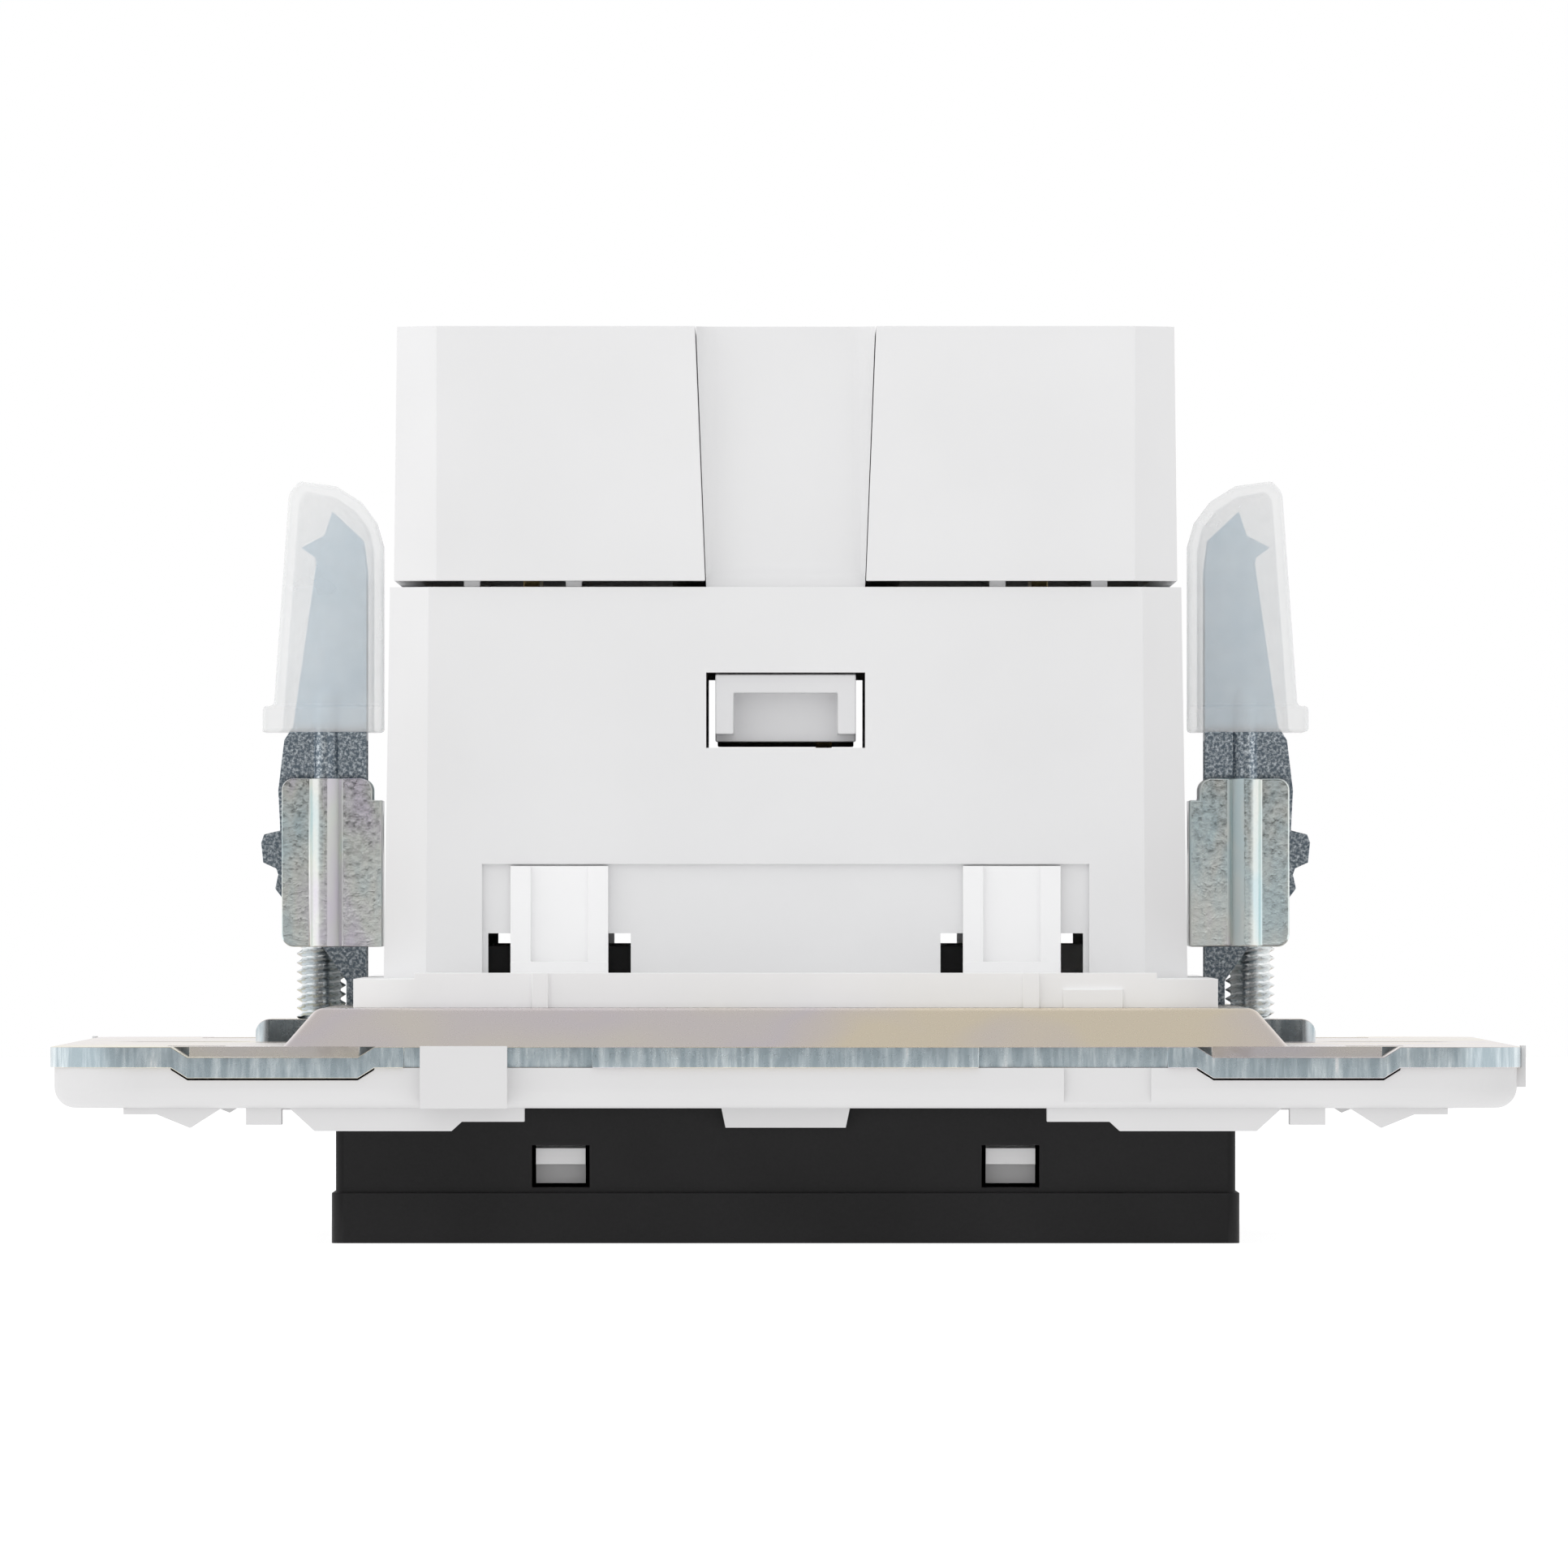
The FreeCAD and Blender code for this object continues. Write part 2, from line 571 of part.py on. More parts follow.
def lowered_tab(name, side, end, clear, thick):
    """The bent strip of a lowered tab, or the room for it when a clearance is given."""
    slope, drop = D["tab_slope"], D["tab_drop"]
    low = D["plate_front"] - clear
    high = low + thick
    corners = [(D["tab_inner"] - slope, high), (D["tab_inner"] - slope, low), (D["tab_inner"], low - drop),
               (D["tab_outer"], low - drop), (D["tab_outer"] + slope, low), (D["tab_outer"] + slope, high),
               (D["tab_outer"], high - drop), (D["tab_inner"], high - drop)]
    return pad(name, "XZ", [(across * side, up) for across, up in corners],
               *mirrored_span(half_long - D["tab_deep"] - clear, half_long + clear, end))


def frame_relief(side, end):
    """Long block with its step, peg and wedge on the frame's front, near one corner."""
    front = frame_front
    edge = half_long - D["frame_inset"]
    start = edge - D["relief_from"]
    bar = pad("frame_bar", "XZ",
              [(D["bar_in"] * side, front), ((D["bar_in"] + D["bar_slope"]) * side, front - D["bar_high"]),
               ((D["bar_out"] - D["bar_slope"]) * side, front - D["bar_high"]), (D["bar_out"] * side, front)],
              *mirrored_span(start, edge - D["frame_round"], end))
    step = box("frame_step", mirrored_span(D["step_in"], D["bar_in"] + D["bar_slope"], side),
               mirrored_span(start, edge - D["frame_round"], end), (front - D["step_high"], front))
    peg = box("frame_peg", mirrored_span(D["peg_in"], D["peg_out"], side),
              mirrored_span(start, edge - D["frame_round"], end), (front - D["peg_high"], front))
    middle = (D["wedge_peak"] + D["wedge_out"]) / 2
    wedge = pad("frame_wedge", "XZ",
                [(D["wedge_in"] * side, front), (D["wedge_peak"] * side, front - D["wedge_high"]),
                 (middle * side, front - D["wedge_low"]), (D["wedge_out"] * side, front - D["wedge_low"]),
                 (D["wedge_out"] * side, front)],
                *mirrored_span(start, edge - D["frame_round"], end))
    return [bar, step, peg, wedge]


def make_support_frame():
    """Plastic ring behind the cover, with its snap arms, clips and blocks."""
    half_x, half_y = half_wide - D["frame_inset"], half_long - D["frame_inset"]
    front, rear, fit = frame_front, D["plate_front"], D["frame_fit"]
    ring = filleted("soft_ring", rounded("ring", half_x, half_y, D["frame_corner"], front, rear),
                    D["frame_round"], at_level(front))
    tools = [box("frame_opening", (-frame_hole_x, frame_hole_x), (-frame_hole_y, frame_hole_y),
                 (front - CLEAR, rear + CLEAR))]
    claw_y = D["dome_half_y"] + D["slot_clear"]
    for side in SIDES:
        tools.append(box("claw_room", mirrored_span(skirt_x - CLEAR, D["dome_edge"] + D["slot_clear"], side),
                         (-claw_y, claw_y), (front - CLEAR, rear + CLEAR)))
        tools.append(slot_tool("frame_slot", side, front, rear))
        tools += [lowered_tab("tab_room", side, end, fit, D["plate_thick"] + D["tab_drop"]) for end in SIDES]
        # The facet lies on the other corner than the clip.
        tools.append(box("facet", mirrored_span(D["clip_in"], D["clip_out"], side),
                         mirrored_span(half_y - D["facet_deep"], half_y + CLEAR, -side),
                         (front - CLEAR, rear + CLEAR)))
    parts = [cut("frame_plate", ring, *tools)]
    for end in SIDES:
        for side in SIDES:
            parts += frame_relief(side, end)
            parts.append(snap_arm(side, end))
        lug_top = D["lug_half"] - fit * 2
        parts.append(pad("frame_lug", "XZ", [(-D["lug_half"], front), (-lug_top, front - D["lug_high"]),
                                             (lug_top, front - D["lug_high"]), (D["lug_half"], front)],
                         *mirrored_span(frame_hole_y, half_y - D["frame_round"] * 3, end)))
        # A clip over the short edge and a thin tab on the long edge, turned about Z to the other corner.
        clip_top = wall_face + fit / 2
        parts.append(box("edge_clip", mirrored_span(D["clip_in"], D["clip_out"], end),
                         mirrored_span(half_y - fit * 2, half_long + D["clip_thick"], end), (front, clip_top)))
        tab_y = mirrored_span(half_y - D["side_tab_from"], half_y - D["side_tab_to"], end)
        tab_low = front + D["frame_round"]
        parts.append(box("side_tab", mirrored_span(half_x - fit * 2, half_wide + D["side_tab_thick"], -end), tab_y,
                         (tab_low, rear)))
        parts.append(box("side_tab_end", mirrored_span(half_wide + fit / 5, half_wide + D["side_tab_thick"], -end),
                         tab_y, (tab_low, clip_top)))
    return node("support_frame", fuse("frame_body", *parts))


def snap_arm(side, end):
    """A snap arm that reaches over the cover's skirt and hooks into its window."""
    fit = D["frame_fit"]
    across = span(D["window_at"] * side, D["window_wide"] - fit * 4)
    inner_face = skirt_y - D["cover_wall"]
    leg_in, leg_out = inner_face - D["cover_wall"] * 0.6, inner_face - fit * 1.5
    bridge = box("arm_bridge", across, mirrored_span(leg_in, frame_hole_y + CLEAR, end),
                 (D["skirt_top"] + fit, D["plate_front"]))
    stem = box("arm_stem", across, mirrored_span(leg_in, leg_out, end),
               (D["window_low"] + fit * 2, D["skirt_top"] + fit * 2))
    hook = box("arm_hook", across, mirrored_span(leg_out - fit, skirt_y - fit * 4, end),
               (window_top - D["window_high"] * 0.45, window_top - fit * 1.5))
    return fuse("arm", bridge, stem, hook)


def slot_tool(name, side, low, high):
    """A rod-ended slot along X for a wall box screw."""
    radius = D["box_slot_wide"] / 2
    reach = D["box_slot_long"] / 2 - radius
    middle = D["box_screw_pitch"] / 2 * side
    ends = [rod(name + "_end", radius, (middle + reach * way, 0, low - CLEAR), high - low + 2 * CLEAR)
            for way in SIDES]
    bar = box(name + "_bar", (middle - reach, middle + reach), (-radius, radius), (low - CLEAR, high + CLEAR))
    return fuse(name, bar, *ends)


def tab_ramp(side, end):
    """The bend between a lowered tab and the plate behind it."""
    start, rear, drop = half_long - D["tab_deep"], wall_face, D["tab_drop"]
    corners = [(start, rear), (start + D["tab_slope"], rear - drop), (start, rear - drop)]
    return pad("tab_ramp", "YZ", [(across * end, up) for across, up in corners],
               *mirrored_span(D["tab_inner"], D["tab_outer"], side))


def make_plate_dome(side):
    """Boss over a claw screw, with a rounded outer end."""
    raw = box("dome", mirrored_span(dome_start, D["dome_edge"], side), (-D["dome_half_y"], D["dome_half_y"]),
              (D["plate_front"], dome_top))
    edge = D["dome_edge"].value - 1e-6
    return filleted("soft_dome", raw, D["dome_round"],
                    lambda point: abs(point.x) > edge and point.z > D["plate_front"].value + 1e-6)


def make_mounting_plate():
    """Sheet steel plate with a raised middle, claw bosses and lowered tabs."""
    front, rear, sheet_thick = D["plate_front"], wall_face, D["plate_thick"]
    flat = rounded("plate", half_wide, half_long, D["plate_corner"], front, rear)
    outside, tabs = [], []
    for side in SIDES:
        for end in SIDES:
            outside.append(box("waist", mirrored_span(D["waist_inner"], D["waist_outer"], side),
                               mirrored_span(half_long - D["waist_deep"], half_long + CLEAR, end),
                               (front - CLEAR, rear + CLEAR)))
            outside.append(box("tab_space", mirrored_span(D["tab_inner"] - D["tab_slope"],
                                                          D["tab_outer"] + D["tab_slope"], side),
                               mirrored_span(half_long - D["tab_deep"], half_long + CLEAR, end),
                               (front - CLEAR, rear + CLEAR)))
            tabs.append(lowered_tab("tab", side, end, 0.0, sheet_thick))
            tabs.append(tab_ramp(side, end))
    top_x, top_y, slope = D["platform_half_x"], D["platform_half_y"], D["platform_slope"]
    under = rear - sheet_thick / 2
    run = slope * (platform_top - under) / platform_rise
    frustum = common("raised",
                     pad("raised_x", "XZ", [(-top_x - run, under), (top_x + run, under), (top_x, platform_top),
                                            (-top_x, platform_top)], -top_y - run, top_y + run),
                     pad("raised_y", "YZ", [(-top_y - run, under), (top_y + run, under), (top_y, platform_top),
                                            (-top_y, platform_top)], -top_x - run, top_x + run))
    raised = filleted("soft_raised", frustum, D["platform_round"],
                      lambda point: point.z > under.value + 1e-6)
    domes = [make_plate_dome(side) for side in SIDES]
    dome_y = D["dome_half_y"]
    level = [box("dome_level", mirrored_span(dome_start, top_x + slope + CLEAR, side), (-dome_y, dome_y),
                 (dome_top, platform_top + CLEAR)) for side in SIDES]
    tools = [box("raised_hollow", (sheet_thick - top_x, top_x - sheet_thick),
                 (sheet_thick - top_y, top_y - sheet_thick), (front - CLEAR, platform_top - sheet_thick)),
             box("earth_slot", span(0, D["earth_half"] * 3), (-cup_y, cup_y), (front - CLEAR, platform_top + CLEAR))]
    tools += [rod("cup_opening", cup_outer + D["slot_clear"], (0, cup_y * side, front - CLEAR),
                  platform_top - front + 2 * CLEAR) for side in SIDES]
    for side in SIDES:
        tools.append(box("dome_hollow", mirrored_span(dome_start - 2 * CLEAR, D["dome_edge"] - sheet_thick, side),
                         (sheet_thick - dome_y, dome_y - sheet_thick), (front - CLEAR, dome_under)))
        tools.append(rod("claw_screw_hole", D["screw_shank"] + D["running"],
                         (D["screw_at"] * side, 0, dome_under - CLEAR), 2 * CLEAR + sheet_thick))
        for way in SIDES:
            tools.append(box("foot_slot", foot_span(side),
                             mirrored_span(D["blade_half_y"] - D["blade_sheet"] - D["slot_clear"],
                                           D["blade_half_y"] + D["slot_clear"], way),
                             (dome_under - CLEAR, dome_top + CLEAR)))
        tools.append(slot_tool("plate_slot", side, front, rear))
        tools += [box("ear_slot", mirrored_span(D["ear_in"], D["ear_out"], side),
                      mirrored_span(half_long - D["ear_from"], half_long - D["ear_to"], end),
                      (front - CLEAR, rear + CLEAR)) for end in SIDES]
    tools += rivet_rods("rivet_hole", D["rivet_shank"], front, platform_top + CLEAR)
    outer = cut("plate_flat", flat, *outside)
    tray = cut("plate_levelled", fuse("plate_outer", outer, raised), *level)
    return node("mounting_plate", cut("plate_shaped", fuse("plate_domed", tray, *domes, *tabs), *tools))


def foot_span(side):
    """(low, high) along X of the slot in which a claw blade's lobe turns."""
    reach = D["foot_lobe"] + D["foot_clear"]
    return mirrored_span(pivot_x - reach, pivot_x + reach, side)


def rivet_rods(name, radius, low, high):
    """Rods at the four rivets."""
    return [rod(name, radius, (D["rivet_x"] * side, D["rivet_y"] * end, low), high - low)
            for side in SIDES for end in SIDES]


def make_plate_rivets():
    """Four tubular rivets that hold the base on the plate, their heads sunk in the base."""
    solids = []
    under = platform_top - D["plate_thick"]
    high = D["rivet_head_high"]
    for side in SIDES:
        for end in SIDES:
            place = (D["rivet_x"] * side, D["rivet_y"] * end)
            shank = rod("shank", D["rivet_shank"], (*place, under), base_top - under)
            foot = rod("rivet_foot", D["rivet_head"], (*place, under - high), high)
            head = rod("rivet_head", D["rivet_head"], (*place, base_top - high), high)
            bore = rod("rivet_bore", D["rivet_shank"] / 2, (*place, under), base_top - under + CLEAR)
            solids.append(cut("rivet", fuse("rivet_solid", shank, foot, head), bore))
    return group("plate_rivets", solids)


def riser_box(name, clear, low, high):
    """The neck of the earth riser, or the slot for it when a clearance is given."""
    half = D["riser_half"] + clear
    return box(name, (D["riser_at"] - clear, D["riser_at"] + D["metal"] + clear), (-half, half), (low, high))


def make_socket_base():
    """Base flange behind the plate with earth groove, shutter guides and snap arms."""
    half_x, half_y = D["base_wide"] / 2, D["base_long"] / 2
    flange = rounded("base_flange", half_x, half_y, D["base_corner"], platform_top, base_top)
    claw_room = [box("base_claw_room", mirrored_span(house_x, half_x + CLEAR, side),
                     (-D["dome_half_y"] - D["slot_clear"], D["dome_half_y"] + D["slot_clear"]),
                     (platform_top - CLEAR, base_top + CLEAR)) for side in SIDES]
    strap_half = D["earth_half"] + D["seat"]
    strap_reach = earth_reach + D["seat"]
    groove = box("earth_groove", (-strap_half, strap_half), (-strap_reach, strap_reach),
                 (platform_top - CLEAR, platform_top + D["seat"] + D["metal"]))
    riser = riser_box("earth_riser_slot", D["seat"], platform_top, base_top + CLEAR)
    holes = pin_holes("base_pin_hole", D["pin_hole"], platform_top - CLEAR, base_top + CLEAR)
    plate = cut("base_plate", flange, groove, riser, *claw_room, *holes,
                *rivet_rods("base_rivet_hole", D["rivet_shank"], platform_top - CLEAR, base_top + CLEAR),
                *rivet_rods("base_rivet_sink", D["rivet_head"], base_top - D["rivet_head_high"], base_top + CLEAR))
    parts = [plate]
    guide = D["shutter_long"] / 2 + D["shutter_gap"]
    guide_x = house_x - D["guide_inset"]
    for socket in SIDES:
        for side in SIDES:
            rib = span(cup_y * socket + (guide + D["guide_wide"] / 2) * side, D["guide_wide"])
            # On its outer side a shutter is guided by the housing's end wall.
            if side != socket:
                parts.append(box("shutter_guide", (-guide_x, guide_x), rib,
                                 (base_top, base_top + D["shutter_thick"] + D["shutter_gap"])))
        # The fixed end of a shutter spring stands on the guide and reaches over the shutter.
        post = span(coil_half + D["post_wide"] / 2 + D["seat"] / 2, D["post_wide"])
        inward = cup_y - guide - D["guide_wide"]
        parts.append(box("post_stem", post, mirrored_span(inward, cup_y - guide, socket),
                         (base_top, spring_low + D["coil_radius"] * 2)))
        parts.append(box("post_arm", post, mirrored_span(inward, cup_y + D["horn_long"] / 2, socket),
                         (spring_low, spring_low + D["coil_radius"] * 2)))
    for end in SIDES:
        for side in SIDES:
            parts.append(base_arm(side, end))
        # rail on the flange's short end, with two small ribs and a flat tile
        rail_top = base_top + D["rail_high"]
        rail_in = half_y - D["rail_wide"]
        parts.append(box("end_rail", (D["base_corner"] - half_x, half_x - D["base_corner"]),
                         mirrored_span(rail_in, half_y, end), (base_top, rail_top)))
        for place in SIDES:
            parts.append(box("end_rib", span(D["end_rib_at"] * place, D["end_rib_wide"]),
                             mirrored_span(rail_in, half_y + D["end_rib_out"], end), (platform_top, rail_top)))
        parts.append(box("end_tile", span(D["tile_at"] * -end, D["tile_wide"]),
                         mirrored_span(rail_in, half_y + D["tile_out"], end),
                         (platform_top, platform_top + D["tile_high"])))
    return node("socket_base", fuse("base_body", *parts))


def base_arm(side, end):
    """A snap arm up the housing's end face: two ribs, a web and a foot bar."""
    inside = house_y - D["panel_deep"] + D["running"] / 4
    middle, half = D["arm_at"] * side, D["arm_wide"] / 2
    across = span(middle, D["arm_wide"])
    top = base_top + D["panel_high"] - D["seat"]
    web = box("arm_web", across, mirrored_span(inside, inside + D["arm_web"], end), (base_top, top))
    foot = box("arm_foot", across, mirrored_span(inside, inside + D["arm_foot"], end),
               (base_top, base_top + D["arm_foot_high"]))
    rib_y = mirrored_span(inside, inside + D["arm_out"], end)
    ribs = [box("arm_rib", span(middle + (half - D["arm_rib"] / 2) * way, D["arm_rib"]), rib_y, (base_top, top))
            for way in SIDES]
    return fuse("base_arm", web, foot, *ribs)


def make_contact_housing():
    """Tapered housing with latch windows, end panels and the hollow spine."""
    wall = D["housing_wall"]
    outer = pad("housing_outer", "XY", chamfered(house_x, house_y, D["housing_chamfer"]), base_top, housing_top,
                taper=-D["housing_draft"])
    inner_x, inner_y = house_x - wall, housing_inside_y
    cavity = pad("housing_cavity", "XY", chamfered(inner_x, inner_y, D["cavity_chamfer"]), base_top - CLEAR,
                 housing_top - wall, taper=-D["housing_draft"])
    spine_low = D["block_inner"] - D["spine_gap"]
    spine_high = spine_low + D["block_taper"]
    spine_y = house_y - D["spine_recess"]
    spine = make_spine(spine_low, spine_high, spine_y)
    spine_hollow = box("spine_hollow", (wall - spine_low, spine_low - wall), (wall - spine_y, spine_y - wall),
                       (housing_top - wall - CLEAR, back - wall))
    tools = [cavity, spine_hollow]
    for end in SIDES:
        panel = mirrored_span(house_y - D["panel_deep"], house_y + CLEAR, end)
        through = mirrored_span(inner_y - CLEAR, house_y + CLEAR, end)
        tools.append(box("panel", (-D["panel_half"], D["panel_half"]), panel,
                         (base_top - CLEAR, base_top + D["panel_high"])))
        tools.append(box("latch_window", (-D["latch_half"], D["latch_half"]), through,
                         (latch_low, latch_low + D["latch_high"])))
        for side in SIDES:
            half = D["arm_wide"] / 2 + D["arm_slot"]
            tools.append(box("arm_window", span(D["arm_at"] * side, half * 2), through,
                             (base_top - CLEAR, base_top + D["arm_slot_high"])))
    riser = D["bus_riser_half"] + D["slot_clear"]
    for side in SIDES:
        tools.append(box("bus_slot", mirrored_span(bus_inner - D["seat"], bus_inner + D["metal"] + D["seat"], side),
                         (-riser, riser),
                         (housing_top - wall - CLEAR, housing_top + CLEAR)))
        tools.append(rod("earth_wire", D["wire_hole"], (0, D["wire_spread"] * side, back - wall - CLEAR),
                         wall + 2 * CLEAR))
    tools.append(box("earth_button_hole", *button_spans(0, D["button_gap"], narrow=True),
                     (back - wall - CLEAR, back + CLEAR)))
    return node("contact_housing", cut("housing", fuse("housing_solid", outer, spine), *tools))


def make_spine(low, high, recess):
    """Middle ridge between the terminal covers; each end is hollowed with round inner edges."""
    outer_y = house_y - D["spine_set"]
    radius = D["spine_round"]
    ridge = pad("spine_ridge", "XZ", [(-low, housing_top), (low, housing_top), (high, back), (-high, back)],
                -outer_y, outer_y)
    hollows = []
    for end in SIDES:
        axis = recess + radius
        sides = [rod("spine_side", radius, ((high - radius) * side, axis * end, housing_top - CLEAR),
                     back - housing_top + 2 * CLEAR) for side in SIDES]
        plan = fuse("spine_plan", *sides,
                    box("spine_middle", (radius - high, high - radius), mirrored_span(recess, axis + CLEAR, end),
                        (housing_top - CLEAR, back + CLEAR)),
                    box("spine_open", (-high, high), mirrored_span(axis, axis + CLEAR, end),
                        (housing_top - CLEAR, back + CLEAR)))
        foot = housing_top + radius
        rise = fuse("spine_rise",
                    rod("spine_foot", radius, (-high, axis * end, foot), high * 2, ALONG_X),
                    box("spine_above", (-high, high), mirrored_span(recess, axis + CLEAR, end), (foot, back + CLEAR)),
                    box("spine_before", (-high, high), mirrored_span(axis, axis + CLEAR, end),
                        (housing_top, back + CLEAR)))
        hollows.append(common("spine_hollowed", plan, rise))
    return cut("spine", ridge, *hollows)


def button_spans(middle, clear, narrow=False):
    """X and Y spans of a release button with a clearance all round."""
    wide = D["button_wide"] * (0.6 if narrow else 1.0)
    return (span(middle, wide + size(clear) * 2), span(0, D["button_long"] + size(clear) * 2))


def make_terminal_cover(name, side):
    """Hollow rear cover over one pole's terminals."""
    low, high = block_low, back
    inner_low, inner_high = D["block_inner"], D["block_inner"] + D["block_taper"]
    edge_low = D["block_edge"]
    edge_high = edge_low - D["block_lean"]
    wall = D["block_wall"]
    profile = pad(name + "_profile", "XZ", [(inner_low * side, low), (edge_low * side, low),
                                            (edge_high * side, high), (inner_high * side, high)],
                  -house_y, house_y)
    chamfer = D["housing_chamfer"]
    plan = pad(name + "_plan", "XY", [(inner_low * side, -house_y), ((edge_low - chamfer) * side, -house_y),
                                      (edge_low * side, chamfer - house_y), (edge_low * side, house_y - chamfer),
                                      ((edge_low - chamfer) * side, house_y), (inner_low * side, house_y)],
               low, high)
    outer = common(name + "_outer", profile, plan)
    inner_y = house_y - wall
    hollow = pad(name + "_hollow", "XY",
                 [((inner_high + wall) * side, -inner_y), ((edge_high - wall - chamfer) * side, -inner_y),
                  ((edge_high - wall) * side, chamfer - inner_y), ((edge_high - wall) * side, inner_y - chamfer),
                  ((edge_high - wall - chamfer) * side, inner_y), ((inner_high + wall) * side, inner_y)],
                 low - CLEAR, high - wall)
    tools = [hollow, box("button_hole", *button_spans(wire_at * side, D["button_gap"]),
                         (high - wall - CLEAR, high + CLEAR))]
    for end in SIDES:
        tools.append(rod("wire_entry", D["wire_hole"], (wire_at * side, D["wire_spread"] * end,
                                                        high - wall - CLEAR), wall + 2 * CLEAR))
    cover = cut(name + "_shell", outer, *tools)
    feet = [box("cover_foot", span(place * side, D["pad_wide"]),
                mirrored_span(inner_y - D["pad_wide"], inner_y + wall / 3, end), (housing_top, low + wall / 3))
            for place in (D["pad_near"], D["pad_far"]) for end in SIDES]
    return node(name, fuse(name + "_footed", cover, *feet))


def make_busbar(name, side):
    """Contact strip of one pole: a bar over both contacts and a riser to the wires."""
    x = mirrored_span(bus_inner, bus_inner + D["metal"], side)
    bar_y = cup_y + D["contact_bore"]
    bar = box("bar", x, (-bar_y, bar_y), (bus_low, contact_top))
    riser = box("riser", x, (-D["bus_riser_half"], D["bus_riser_half"]), (bus_low, bus_top))
    return node(name, fuse(name + "_strip", bar, riser))


def make_contact(name, side, end):
    """Split spring sleeve that grips one plug pin."""
    place = (pin_x * side, cup_y * end)
    outer = rod("sleeve_outer", D["contact_bore"] + D["contact_wall"], (*place, contact_low),
                contact_top - contact_low)
    bore = rod("sleeve_bore", D["contact_bore"], (*place, contact_low - CLEAR),
               contact_top - contact_low + 2 * CLEAR)
    across = D["contact_bore"] * 4
    slit = (contact_low - CLEAR, bus_low - D["contact_slit"])
    slits = [box("slit", span(place[0], across), span(place[1], D["contact_slit"]), slit),
             box("slit", span(place[0], D["contact_slit"]), span(place[1], across), slit)]
    return node(name, cut(name + "_split", outer, bore, *slits))


def make_earth_strap():
    """Strap along Y with four fingers into the recesses and a riser to the earth wires."""
    half, thick = D["earth_half"], D["metal"]
    low = strap_low
    riser_x = (D["riser_at"], D["riser_at"] + thick)
    crown_low = housing_top + 1.0
    crown = box("earth_crown", riser_x, (-D["bus_riser_half"], D["bus_riser_half"]), (crown_low, bus_top))
    # The crown is notched where the release button comes down between the two wires.
    notch_half = D["button_long"] / 2 + D["button_travel"]
    notch = box("crown_notch", (D["riser_at"] - CLEAR, D["riser_at"] + thick + CLEAR), (-notch_half, notch_half),
                (button_low - D["button_travel"] - D["button_gap"], bus_top + CLEAR))
    parts = [box("strap", (-half, half), (-earth_reach, earth_reach), (low, low + thick)),
             riser_box("earth_riser", 0.0, low, crown_low + CLEAR), cut("earth_crown_notched", crown, notch)]
    for side, _, wall in finger_places():
        start = wall + D["slot_clear"] * side
        ends = (start, start + D["finger_sheet"]) if side > 0 else (start - D["finger_sheet"], start)
        parts.append(box("finger", (-half, half), ends, (D["finger_low"], low + thick)))
        # The bump is a shallow ridge that presses on the plug's side contact.
        crest = wall - D["finger_bump"] * side
        foot, rise = D["finger_low"], D["finger_rise"]
        corners = [(start, foot), (crest, foot + rise * 0.8), (crest, foot + rise * 1.2),
                   (start, foot + rise * 2.2)]
        parts.append(pad("finger_bump", "YZ", corners, -half, half))
    return node("earth_strap", fuse("earth_body", *parts))


def make_clamp_springs(name, anchor, tip, places):
    """Leaf springs that press a wire against the strip, one at each place along Y."""
    sheet_thick = D["spring_sheet"]
    way = 1 if size(tip).value > size(anchor).value else -1
    top, foot = bus_top - D["spring_short"], block_low + D["block_wall"]
    turn, rise = D["spring_turn"], D["spring_rise"]
    corners = [(anchor, top), (anchor, foot), (anchor + turn * way, foot - sheet_thick * 2), (tip, foot + rise),
               (tip - sheet_thick * 1.1 * way, foot + rise + sheet_thick),
               (anchor + (turn + sheet_thick / 4) * way, foot - sheet_thick * 0.4),
               (anchor + sheet_thick * way, foot + sheet_thick * 0.75), (anchor + sheet_thick * way, top)]
    half = D["spring_wide"] / 2
    return group(name, [pad("leaf", "XZ", corners, size(place) - half, size(place) + half) for place in places])


def make_release_button(name, middle, narrow=False):
    """Push button beside the wire entries, with a collar under the cover's roof."""
    top = back - D["button_sunk"]
    roof = back - D["block_wall"]
    slit = D["button_slit"]
    cap_x, cap_y = button_spans(middle, 0.0, narrow)
    cap = box("button_cap", cap_x, cap_y, (button_low, top))
    collar_out = D["button_collar"] * (0.7 if narrow else 1.0)
    collar = box("button_collar", cap_x, (cap_y[0] - collar_out, cap_y[1] + collar_out),
                 (roof - D["button_gap"] - D["button_collar"], roof - D["button_gap"]))
    groove = box("button_groove", span(middle, slit), (cap_y[0] - CLEAR, cap_y[1] + CLEAR),
                 (top - slit / 2, top + CLEAR))
    return node(name, cut(name + "_body", fuse("button_solid", cap, collar), groove))


def make_shutter(name, end):
    """Sliding shutter over the two pin holes of a socket."""
    low = shutter_low
    middle = cup_y * end
    high = shutter_top
    left = -pin_x - D["shutter_travel"] - D["pin_hole"] - D["shutter_rim"]
    right = pin_x + D["pin_hole"] + D["shutter_rim"]
    slide = box("slide", (left, right), span(middle, D["shutter_long"]), (low, high))
    holes = [rod("shutter_hole", D["pin_hole"], (x - D["shutter_travel"], middle, low - CLEAR),
                 D["shutter_thick"] + 2 * CLEAR) for x in (-pin_x, pin_x)]
    horn = box("shutter_horn", span(-coil_half - D["post_wide"] / 2 - D["seat"] / 2, D["post_wide"]),
               span(middle, D["horn_long"]), (high, spring_low + D["coil_radius"] * 2))
    return node(name, fuse(name + "_body", cut(name + "_plate", slide, *holes), horn))


